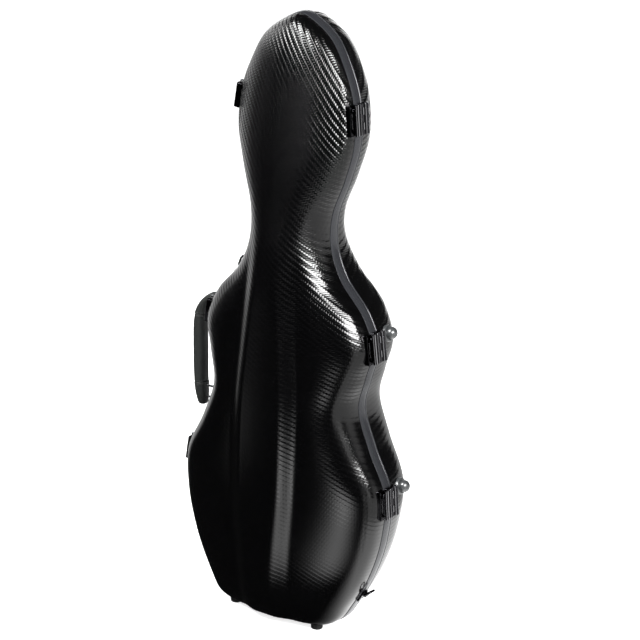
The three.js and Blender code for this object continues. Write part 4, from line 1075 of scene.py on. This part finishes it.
class CASE_OT_latches(Operator):
    """Makes the three latches: strike with a ridge, plate with knuckles, ribbed lever with its claw, pin"""

    bl_idname = "case.latches"
    bl_label = "Latches"

    # In the latch's own axes: sections as (out, rear), ribs and rails as (rear, along, a rail's corners)
    HALF, HOOK_HALF, ARM_HALF = 19, 14, 11.7
    PIN, KNUCKLE, BORE = (5.4, 18, 0), 2.5, 1.4
    LEVER = [
        (4.7, -7.4), (6.6, -7.4), (6.6, -6.2), (6.0, -5.8), (6.0, -4.4), (6.8, -4.0), (6.8, -1.2),
        (6.0, -0.8), (6.0, 1.9), (6.7, 2.2), (6.7, 3.4), (6.0, 3.7), (6.0, 5.4), (6.6, 5.7), (6.6, 7.0),
        (5.8, 7.4), (5.8, 12.6), (6.6, 12.9), (6.6, 14.4), (6.2, 15.2), (4.7, 15.2),
    ]
    CLAW = [(3.2, -7.4), (5, -7.4), (5, -5.0), (3.9, -5.0), (3.2, -5.7)]
    RIDGE = [(1.6, -5.6), (3.4, -4.9), (4.2, -4.4), (4.2, -3.5), (3.6, -3), (1.6, -3)]
    ARM = [(4.7, 14), (6.6, 14), (7.1, 15.6), (7.5, 17), (5.4, 18), (3.3, 16.6)]
    LONG = (-18.6, 18.6)
    RIBS = [
        ((-7.3, -6.4), LONG), ((-3.6, -1.6), LONG), ((2.4, 3.2), LONG), ((7.6, 9.2), (5.6, 14.2)),
        ((7.6, 9.2), (-12.4, -3.8)), ((13.0, 14.3), LONG),
    ]
    RAILS = [
        ((-13, -11.9), (-19, 19), 0.5), ((-7.4, -6.2), (-12.4, 12.4), 0.5),
        ((-13, -1.4), (-19, -18), 0.45), ((-13, -1.4), (18, 19), 0.45),
    ]
    PIN_HEAD = [(0, 0.5), (0.9, 0.4), (1.5, 0.1), (1.5, -0.1), (0, -0.1)]

    def execute(self, context):
        for name, share in LATCH_SHARES.items():
            self.latch(context, name, Seat(*wall_at(height_at(share), 1)))
        return {"FINISHED"}

    def knuckle(self, low, high):
        return rod(low, high, self.KNUCKLE, self.PIN, bore=self.BORE)

    def latch(self, context, name, seat):
        edge = context.scene.case_sizes.edge
        lever_body = f"latch_{name}"

        def add(suffix, parts, body, finish, *replaced, rounding=None):
            nodes = [f"latch_{name}_{node}" for node in replaced]
            add_piece(context, f"latch_{name}_{suffix}", seat, parts, body, finish, *nodes, rounding=rounding)

        long, hook = (-self.HALF, self.HALF), (-self.HOOK_HALF, self.HOOK_HALF)
        strike = [panel((-4.2, 1.3), (-13, -1.4), long, 1.8), extruded(self.RIDGE, *hook, 2)]
        strike += [panel((0.6, 2.1), y, z, radius) for y, z, radius in self.RAILS]
        add("catch", strike, "lid", "nickel", "strike", rounding=edge)
        add("catch_screws", [screw((1.3, -9.5, z), 1.9, 0.75) for z in (-15.4, 15.4)], "lid", "nickel")
        plate = [panel((-2.9, 2.5), (1.6, 20.5), long, 1.8)]
        for low, high in ((-self.HALF, -12), (12, self.HALF)):
            plate += [self.knuckle(low, high), box((2.2, 15.9, low), (3.6, 20.5, high))]
        add("base_plate", plate, "base", "nickel", "plate", rounding=edge)
        add("plate_screws", [screw((2.5, 8, z), 2, 0.6) for z in (-14, 0, 14)], "base", "steel")
        lever = [
            extruded(self.LEVER, *long, 2), extruded(self.CLAW, *hook, 2),
            extruded(self.ARM, -self.ARM_HALF, self.ARM_HALF, 2),
            *[self.knuckle(*ends) for ends in ((-self.ARM_HALF, -4.1), (-3.8, 3.8), (4.1, self.ARM_HALF))],
        ]
        add("hook", lever, lever_body, "nickel", "lever", rounding=edge)
        rib = panel((0.6, 1.9), (-8.9, -8.2), (-9.5, 9.5), 0.3)
        add("catch_rib", [rib], "lid", "polished", rounding=edge)
        ribs = [panel((5.6, 7.4), y, z, 0.35) for y, z in self.RIBS]
        add("ribs", ribs, lever_body, "polished", rounding=edge)
        add("rod", headed_pin(self.HALF, 1.15, self.PIN_HEAD, self.PIN), "base", "steel", "pin")


class CASE_OT_handle(Operator):
    """Makes the stitched leather handle, its two wire links and the eyes that hold them"""

    bl_idname = "case.handle"
    bl_label = "Handle"

    # Share of the half length at which the grip's end caps begin
    CAP_AT = 0.6

    def grip_middle(self, t):
        end = HANDLE_ENDS[0] + (HANDLE_ENDS[1] - HANDLE_ENDS[0]) * (t + 1) / 2
        return end + (HANDLE_OUT - end) * (1 - t**4)

    def grip_ring(self, t, angles):
        """Points round the grip at a share of its length, with its end caps and the groove before them."""
        full = math.sqrt(max(0, 1 - t**6))
        cap = 0.45 * float(smoothstep(abs(t), self.CAP_AT, self.CAP_AT + 0.012))
        groove = -0.7 * math.exp(-(((abs(t) - self.CAP_AT) / 0.007) ** 2))
        crown = cap + groove
        thick, wide = 7 + 6 * full + 2 * crown, 9 + 12 * full + 2 * crown
        shape = 2 / 2.5
        cosine, sine = np.cos(angles), np.sin(angles)
        inward = np.where(cosine < 0, 1 + 0.55 * full * (1 - t * t), 1)
        x = self.grip_middle(t) + np.sign(cosine) * np.abs(cosine) ** shape * thick / 2 * inward
        y = np.sign(sine) * np.abs(sine) ** shape * wide / 2
        return np.stack([x, y, np.full_like(x, t * HANDLE_LENGTH / 2)], 1)

    def eye_place(self, height):
        place, _ = wall_at(height, -1)
        return np.array([place[0] - BAND_PROUD - EYE_OUT, HANDLE_BACK, height])

    def execute(self, context):
        middle, span = height_at(HANDLE_SHARE), HANDLE_LENGTH - 2 * HANDLE_LINK_INSET
        low, high = self.eye_place(middle - span / 2), self.eye_place(middle + span / 2)
        way = (high - low) / np.linalg.norm(high - low)
        out = np.array([-way[2], 0, way[0]])
        seat = Seat((low + high) / 2, out)
        add_piece(context, "handle_grip_leather", seat, [self.grip()], "handle", "leather",
                  "handle_grip", smooth_degrees=60)
        threads = self.stitching(context.scene.case_sizes.stitch / MM)
        add_piece(context, "handle_stitching", seat, threads, "handle", "thread")
        # The handle's own z runs downward, as the case's left wall is seen from outside
        for name, place, centre in (("lower", low, span / 2), ("upper", high, -span / 2)):
            add_piece(context, f"handle_wire_{name}", seat, [self.link(centre)], "handle", "steel",
                      f"handle_link_{name}", smooth_degrees=70)
            add_piece(context, f"handle_bracket_{name}", Seat(place, out), self.eye(), "base", "nickel",
                      f"handle_eye_{name}", smooth_degrees=30)
        return {"FINISHED"}

    def grip(self):
        sides = 44
        angles = np.arange(sides) / sides * 2 * math.pi
        shares = np.unique(np.round(np.concatenate([
            np.linspace(-0.985, 0.985, 73), np.sin(np.linspace(-math.pi / 2, math.pi / 2, 33)),
            *[sign * np.linspace(self.CAP_AT - 0.025, self.CAP_AT + 0.025, 25) for sign in (-1, 1)],
        ]), 5))
        rings = [self.grip_ring(t, angles) for t in shares]
        for t, at_end in ((-1, True), (1, False)):
            centre = np.array([self.grip_middle(t), 0, t * HANDLE_LENGTH / 2])
            closing = [centre + (self.grip_ring(t, angles) - centre) * s + [0, 0, t * 0.7 * (1 - s * s)]
                       for s in (0.82, 0.5, 0.1)]
            rings = closing[::-1] + rings if at_end else rings + closing
        return lofted(rings)

    def stitching(self, length):
        """Threads along the side that faces the case, and round the grip beside the grooves."""
        threads, seam_half_turn, seam_points = [], 0.16, 90
        for angle in (math.pi - seam_half_turn, math.pi + seam_half_turn):
            line = np.array([
                self.grip_ring(t, np.array([angle]))[0] for t in np.linspace(-0.58, 0.58, seam_points)
            ])
            threads += stitches(line, np.tile([-1.0, 0, 0], (seam_points, 1)), (0, 1, 0), length)
        for t in (-0.635, -0.575, 0.575, 0.635):
            turn = np.linspace(0, 2 * math.pi, 97)
            ring = self.grip_ring(t, turn)
            lifts = ring - [self.grip_middle(t), 0, ring[0, 2]]
            lifts /= np.linalg.norm(lifts, axis=1, keepdims=True)
            threads += stitches(ring, lifts, (0, 0, 1), length * 0.8)
        return threads

    def link(self, centre):
        """A wire link from the grip down to its eye and back."""
        half, corner = 7.5, 4.0
        path = []
        for z, turn in ((centre - half, 1), (centre + half, -1)):
            start = np.array([self.grip_middle(2 * z / HANDLE_LENGTH), 0, z])
            steps = np.linspace(0, math.pi / 2, 9)
            along_wire = z + turn * corner * (1 - np.cos(steps))
            bend = np.stack([corner * (1 - np.sin(steps)), 0 * steps, along_wire], 1)
            path.append(np.concatenate([np.linspace(start, bend[0], 6)[:-1], bend]))
        return wire(np.concatenate([path[0], path[1][::-1]]), 1.55, (0, 1, 0), sides=18)

    def eye(self):
        """The foot on the wall and the bored eye that a link passes through."""
        foot = [
            (0, -9.5), (6.8, -9.5), (6.8, 1.3 - EYE_OUT), (6.3, 2.0 - EYE_OUT), (5.4, 2.2 - EYE_OUT),
            (4.4, 2.2 - EYE_OUT), (3.4, 3.0 - EYE_OUT), (3.0, 4.0 - EYE_OUT), (2.6, -1.9), (0, -1.9),
        ]
        bored = [
            (3.3, -3.9), (3.3, 3.9), (3.0, 4.5), (1.9, 4.5), (1.8, 4.2), (1.8, -4.2), (1.9, -4.5),
            (3.0, -4.5),
        ]
        return [turned(foot, sides=48), turned(bored, axis=2, sides=40, closed=True)]


class CASE_OT_strap_rings(Operator):
    """Makes the two strap rings and the plates that they swing in"""

    bl_idname = "case.strap_rings"
    bl_label = "Strap Rings"

    def execute(self, context):
        edge = context.scene.case_sizes.edge
        for name, (share, side) in STRAP_PLACES.items():
            seat = Seat(*wall_at(height_at(share), side))
            lug, lug_radius = (4.8, 8, side * 5.1), 2.9
            plate = [
                extruded(rounded([(-8, -2.9), (8, -2.9), (8, 3.4), (-8, 3.4)], 1.6, 4), 2.5, 13.5, 1),
                rod(-3, 3, lug_radius, lug, 1, bore=1.6),
                box((0, 5, lug[2] - lug_radius), (3.1, 11, lug[2] + lug_radius)),
            ]
            add_piece(context, f"strap_mount_{name}", seat, plate, "base", "nickel",
                      f"strap_plate_{name}", rounding=edge)
            add_piece(context, f"strap_mount_{name}_screw", seat, [screw((3.4, 8, -side * 3.6), 2.2, 0.7)],
                      "base", "steel")
            tilt = math.radians(24)
            way = np.array([math.sin(tilt), 0, side * math.cos(tilt)])
            loop = rounded([(-5.15, 0), (5.15, 0), (5.15, 12.5), (-5.15, 12.5)], 3.2, 8)
            path = np.array([lug + np.array([0, y, 0]) + s * way for y, s in cut(loop, lambda length: 3)])
            ring = wire(path, 1.45, (way[2], 0, -way[0]), closed=True, sides=16)
            add_piece(context, f"strap_loop_{name}", seat, [ring], f"strap_ring_{name}", "nickel",
                      f"strap_ring_{name}", smooth_degrees=70)
        return {"FINISHED"}


class CASE_OT_bumpers(Operator):
    """Makes the two domed bumpers on the base's wall"""

    bl_idname = "case.bumpers"
    bl_label = "Bumpers"

    def execute(self, context):
        ball = [(8 * math.cos(a), 5.2 + 7.3 * math.sin(a)) for a in np.linspace(-0.42, math.pi / 2, 22)]
        profile = [
            (0, -6), (10.1, -6), (10.5, -5.6), (10.5, 1.2), (10.1, 1.9), (9.4, 2.2), (8.4, 2.3), (7.9, 2.0),
            (7.3, 2.0), *ball[:-1], (0, 12.5),
        ]
        for name, share in BUMPER_SHARES.items():
            seat = Seat(*wall_at(height_at(share), 1))
            dome = turned(profile, (0, 38, 0), 0, 64)
            add_piece(context, f"bumper_dome_{name}", seat, [dome], "base", "bumper", f"bumper_{name}",
                      smooth_degrees=42)
        return {"FINISHED"}


class CASE_OT_feet(Operator):
    """Makes the four rubber feet under the case"""

    bl_idname = "case.feet"
    bl_label = "Feet"

    def execute(self, context):
        profile = [(0, 0.6), (4.6, 0.6), (5.2, 0), (6.7, 0), (7.4, 0.5), (7.6, 1.4)]
        # Grooves round the foot, which widens upward
        groove = [(7.55, 0), (7.2, 0.35), (7.2, 0.7), (7.6, 1.05)]
        for z in np.arange(2.6, 10, 2.2):
            profile += [(radius + z * 0.06, z + rise) for radius, rise in groove]
        profile += [(8.4, 14), (0, 14)]
        for body, y in FOOT_PLACES.items():
            for side, sign in (("left", -1), ("right", 1)):
                foot = turned(profile, (sign * FOOT_ACROSS, y, 0), 2, 56)
                add_piece(context, f"foot_{body}_{side}_rubber", CASE_AXES, [foot], body, "rubber",
                          f"foot_{body}_{side}", smooth_degrees=30)
        return {"FINISHED"}


class CASE_OT_lid_lining(Operator):
    """Makes the padded velvet lining of the lid, with its rolled edge and sewn channels"""

    bl_idname = "case.lid_lining"
    bl_label = "Lid Lining"

    def execute(self, context):
        seam_count, ring_count, front = 288, 46, -7.7
        rings, normals, _ = shell_rings(LID, 60, seam_count, crease=0.5)

        def columns(inset):
            """The lining's surface at an inset, evenly spaced from the middle line to its front edge."""
            surface = rings - normals * inset
            result = np.empty((ring_count, seam_count, 3))
            for j in range(seam_count):
                line = surface[:, j]
                beyond = np.nonzero(line[:, 1] > front)[0]
                last = beyond[0] if len(beyond) else len(line) - 1
                share = (front - line[last - 1, 1]) / (line[last, 1] - line[last - 1, 1])
                line = np.vstack([line[:last], line[last - 1] + share * (line[last] - line[last - 1])])
                way = walked_along(line)
                at = np.linspace(0, way[-1], ring_count)
                result[:, j] = np.stack([np.interp(at, way, line[:, k]) for k in range(3)], 1)
            return result

        outer, inner = columns(LINING_OUTER + 0.2), columns(LINING_OUTER + LINING_THICK - 0.6)
        # Sewn channels across the face, and a soft swell between them
        pitch, channel_depth, roll_out = 46.0, 2.2, 0.35
        phase = (inner[..., 2] - FLOOR_CLEARANCE) / pitch * math.pi
        swell = np.abs(np.sin(phase)) ** 0.35
        flat = 1 - smoothstep(np.linspace(0, 1, ring_count)[:, None], 0.8, 0.97)
        across = (outer - inner) / np.maximum(np.linalg.norm(outer - inner, axis=2, keepdims=True), 1e-6)
        inner = inner + across * ((1 - swell) * channel_depth * flat)[..., None]
        roll = []
        for angle in np.linspace(0, math.pi, 9)[1:-1]:
            share = (1 - math.cos(angle)) / 2
            edge = outer[-1] + (inner[-1] - outer[-1]) * share
            roll.append(edge + np.array([0, roll_out * math.sin(angle), 0]))
        surface = np.concatenate([outer, np.array(roll), inner[::-1]])
        lining = new_object("lid_lining_velvet", surface, ring_faces(len(surface), seam_count), merge=2e-5,
                            smooth_degrees=75)
        finished(lining, "lid", material("velvet", context), "lining", "lid_lining")
        return {"FINISHED"}


class CASE_OT_base_foam(Operator):
    """Makes the flocked foam in the base with its soft-edged wells"""

    bl_idname = "case.base_foam"
    bl_label = "Base Foam"

    def execute(self, context):
        for name in ("base_foam_body", "base_foam_neck"):
            block = NODES[name].copy()
            block.data = NODES[name].data.copy()
            block.name = name + "_flocked"
            context.scene.collection.objects.link(block)
            remesh = block.modifiers.new("Even Faces", "REMESH")
            remesh.mode, remesh.voxel_size = "VOXEL", 0.0032
            soften = block.modifiers.new("Soft Edges", "SMOOTH")
            soften.factor, soften.iterations = 0.5, 5
            context.view_layer.update()
            shown = block.evaluated_get(context.evaluated_depsgraph_get())
            mesh = bpy.data.meshes.new_from_object(shown)
            block.modifiers.clear()
            block.data = mesh
            mesh.polygons.foreach_set("use_smooth", [True] * len(mesh.polygons))
            finished(block, "base", material("flock", context), "foam", name)
        return {"FINISHED"}


class CASE_OT_accessory_cover(Operator):
    """Makes the padded lift-out cover of the accessory well and its ribbon pull"""

    bl_idname = "case.accessory_cover"
    bl_label = "Accessory Cover"

    def execute(self, context):
        low, high = height_at(COVER_SHARES[0]) - 4, height_at(COVER_SHARES[1]) + 4
        corners = rounded([(-54, low), (54, low), (54, high), (-54, high)], 17, 10)
        centre = np.array([0, (low + high) / 2])
        outline = cut(corners, lambda length: max(1, int(length // 4))) - centre

        def ring(share, y):
            flat = outline * share
            return np.stack([flat[:, 0], np.full(len(flat), y), flat[:, 1] + centre[1]], 1)

        # From the middle of the back round the edge's welt to the crowned front
        back = [(s, 6.3) for s in (0.02, 0.4, 0.8, 0.96)]
        welt = [
            (0.985, 6.1), (0.993, 5.5), (0.985, 4.9), (0.978, 4.6), (0.985, 4.3), (0.992, 3.9), (0.985, 3.3),
            (0.97, 3.0),
        ]
        front_shares = (0.94, 0.9, 0.82, 0.7, 0.56, 0.4, 0.25, 0.12, 0.02)
        front = [(s, 3.0 - 1.3 * (1 - s**6) ** 0.5) for s in front_shares]
        rings = [ring(s, y) for s, y in back + welt + front]
        cover = add_piece(context, "accessory_cover_pad", CASE_AXES, [lofted(rings)], "base", "velvet",
                          "accessory_cover", smooth_degrees=60)

        # Ribbon pull: an arch over the cover, its ends sewn flat
        middle = height_at(sum(COVER_SHARES) / 2)
        angle = np.linspace(0, math.pi, 41)
        line = np.stack([-15 * np.cos(angle), 2.0 - 10.2 * np.sin(angle) ** 0.9], 1)
        ribbon(context, "cover_ribbon", line, 1.2, (middle - 6, middle + 6), "accessory_cover_pull")
        return {"FINISHED"}


def ribbon(context, name, line, thick, across, *replaced):
    """A band of woven ribbon along points (x, y), between two heights."""
    line = np.asarray(line, float)
    way = np.gradient(line, axis=0)
    way /= np.linalg.norm(way, axis=1, keepdims=True)
    normal = np.stack([-way[:, 1], way[:, 0]], 1)
    walked = walked_along(line)
    low, high = across
    section = [
        (0.5, low + 0.5), (0.5, high - 0.5), (0.25, high), (-0.25, high), (-0.5, high - 0.5),
        (-0.5, low + 0.5), (-0.25, low), (0.25, low),
    ]
    rings = [[(*(place + up * share * thick), z) for share, z in section] for place, up in zip(line, normal)]
    weave = [(at * MM, z * MM, 0) for at in walked for _, z in section]
    made = new_object(name, *lofted(rings), weave=weave, smooth_degrees=50)
    return finished(made, "base", material("webbing", context), "lining", *replaced)


class CASE_OT_neck_rest(Operator):
    """Makes the padded rest under the instrument's neck and the strap over it"""

    bl_idname = "case.neck_rest"
    bl_label = "Neck Rest"

    def execute(self, context):
        low = height_at(NECK_BLOCK_SHARE)
        high = low + 24
        angle = np.linspace(math.pi, 0, 25)
        notch = [(13 * math.cos(a), 7.5 + 13 * math.sin(a)) for a in angle]
        outline = [(-22.4, 30.4), (-22.4, 7.5), *notch, (22.4, 7.5), (22.4, 30.4)]
        block = add_piece(context, "neck_block_pad", CASE_AXES, [extruded(outline, low, high, 2)], "base",
                          "velvet", "neck_block", rounding=0.0022, smooth_degrees=35)
        block.modifiers["Rounding"].segments = 4
        across = np.linspace(-1, 1, 65)
        lift = 5 * (1 - smoothstep(np.abs(across), 0.333, 0.75))
        line = np.stack([across * 43.8, FOAM_TOP - 1.1 - lift], 1)
        middle = (low + high) / 2
        ribbon(context, "neck_strap_webbing", line, 1.4, (middle - 11, middle + 11), "neck_strap")
        threads = []
        row_points, row_half = 30, 9.5
        for x in (-40.5, -36.5, 36.5, 40.5):
            ends = [[x, FOAM_TOP - 1.75, middle + rise] for rise in (-row_half, row_half)]
            lifts = np.tile([0, -1.0, 0], (row_points, 1))
            threads += stitches(np.linspace(*ends, row_points), lifts, (1, 0, 0), 2.6)
        add_piece(context, "neck_strap_stitching", CASE_AXES, threads, "base", "thread")
        snap = [(0, 1.0), (5.4, 1.0), (5.4, 0.2), (4.9, -0.4), (3.6, -0.8), (2.0, -0.95), (0, -1.0)]
        add_piece(context, "neck_strap_snap", CASE_AXES, [turned(snap, (31.5, 0.4, middle), 1, 40)], "base",
                  "nickel", smooth_degrees=30)
        return {"FINISHED"}


class CASE_OT_bow_holders(Operator):
    """Makes the two bow clips with their turning buttons, and the sleeves for the bow tips"""

    bl_idname = "case.bow_holders"
    bl_label = "Bow Holders"

    def lining_face(self, x, z):
        return -(float(lid_depth(x, z)) - LINING_OUTER - LINING_THICK)

    def execute(self, context):
        for side, sign in (("left", -1), ("right", 1)):
            x, z = sign * 20.0, height_at(BOW_CLIP_SHARE)
            floor = self.lining_face(x, z)
            shoulder = floor + 17
            back = shoulder + 4.3
            stand = [
                (0, floor - 4), (11, floor - 4), (11, floor + 2.6), (10.4, floor + 3.5), (9.2, floor + 4),
                (6.8, floor + 4), (5.9, floor + 4.6), (5.5, floor + 6), (5.5, shoulder - 0.4),
                (5.1, shoulder), (3, shoulder), (3, back + 0.3), (5.1, back + 0.3), (5.5, back + 0.7),
                (5.4, back + 1.6), (4.6, back + 2.15), (0, back + 2.3),
            ]
            add_piece(context, f"bow_post_{side}", CASE_AXES, [turned(stand, (x, 0, z), 1, 48)], "lid",
                      "rubber", f"bow_clip_{side}", smooth_degrees=32)
            arm = rounded([(-5, -17), (5, -17), (5, 17), (-5, 17)], 6.5, 8)
            button = self.pierced(arm, 3.4, shoulder + 0.3, back)
            seat = Seat((x, 0, z), (1, 0, 0))
            add_piece(context, f"bow_turn_{side}", seat, [button], f"bow_button_{side}", "rubber",
                      f"bow_button_{side}", rounding=0.0008)
            self.sleeve(context, side, x)
        return {"FINISHED"}

    def pierced(self, outline, bore, low, high):
        """An outline in z and x with a round bore, between two depths."""
        outline = np.asarray(outline, float)
        angle = np.arctan2(outline[:, 1], outline[:, 0])
        hole = np.stack([bore * np.cos(angle), bore * np.sin(angle)], 1)
        rings = [np.stack([flat[:, 1], np.full(len(flat), y), flat[:, 0]], 1)
                 for flat, y in ((outline, low), (outline, high), (hole, high), (hole, low))]
        return np.concatenate(rings), ring_faces(4, len(outline), closed=True)

    def sleeve(self, context, side, x):
        low = height_at(BOW_SLEEVE_SHARE)
        high = low + BOW_SLEEVE_LENGTH
        floor = self.lining_face(x, high)

        def ring(z, inset, sag):
            half, bottom, top = 13 - inset, floor - 6 + inset, floor + 14 - inset - sag
            outline = rounded([(-half, bottom), (half, bottom), (half, top), (-half, top)], 4.5, 6)
            return [(x + a, b, z) for a, b in outline]

        def row(share, inset, sag):
            return ring(low + share * BOW_SLEEVE_LENGTH, inset, sag * math.sin(share * math.pi))

        # From the depth of the pocket out over its hem, then down the gathered outside to the closed tip
        inside = [row(share, 2, 0.4) for share in (0.94, 0.5, 0.1)] + [ring(low + 0.6, 1.6, 0)]
        hem = [ring(low + 0.6, 1.0, 0), ring(low, 0.4, 0), ring(low + 0.8, 0, 0)]
        outside = [row(share, 0.25 * math.sin(share * math.pi * 5) ** 2, 0.6)
                   for share in np.linspace(0.05, 0.95, 16)]
        tip = [ring(high, 0.8, 0), ring(high + 0.2, 3.5, 0)]
        made = add_piece(context, f"bow_pocket_{side}", CASE_AXES, [lofted(inside + hem + outside + tip)],
                         "lid", "velvet", f"bow_sleeve_{side}", smooth_degrees=60)


class CASE_PT_builder(Panel):
    """Lists the steps that build the case"""

    bl_idname = "CASE_PT_builder"
    bl_label = "Violin Case"
    bl_space_type = "VIEW_3D"
    bl_region_type = "UI"
    bl_category = "Violin Case"

    def draw(self, context):
        for settings in (context.scene.case_sizes, context.scene.case_colours):
            for key in settings.__annotations__:
                self.layout.prop(settings, key)
        for operator in OPERATORS:
            self.layout.operator(operator.bl_idname)


OPERATORS = (
    CASE_OT_stage, CASE_OT_shells, CASE_OT_rims, CASE_OT_hinges, CASE_OT_latches, CASE_OT_handle,
    CASE_OT_strap_rings, CASE_OT_bumpers, CASE_OT_feet, CASE_OT_lid_lining, CASE_OT_base_foam,
    CASE_OT_accessory_cover, CASE_OT_neck_rest, CASE_OT_bow_holders,
)
CLASSES = (CaseSizes, CaseColours, *OPERATORS, CASE_PT_builder)


def register():
    for made in CLASSES:
        bpy.utils.register_class(made)
    bpy.types.Scene.case_sizes = PointerProperty(type=CaseSizes)
    bpy.types.Scene.case_colours = PointerProperty(type=CaseColours)


def unregister():
    del bpy.types.Scene.case_colours
    del bpy.types.Scene.case_sizes
    for made in reversed(CLASSES):
        bpy.utils.unregister_class(made)


def main():
    register()
    for operator in OPERATORS:
        area, name = operator.bl_idname.split(".")
        getattr(getattr(bpy.ops, area), name)()


if __name__ == "__main__":
    main()
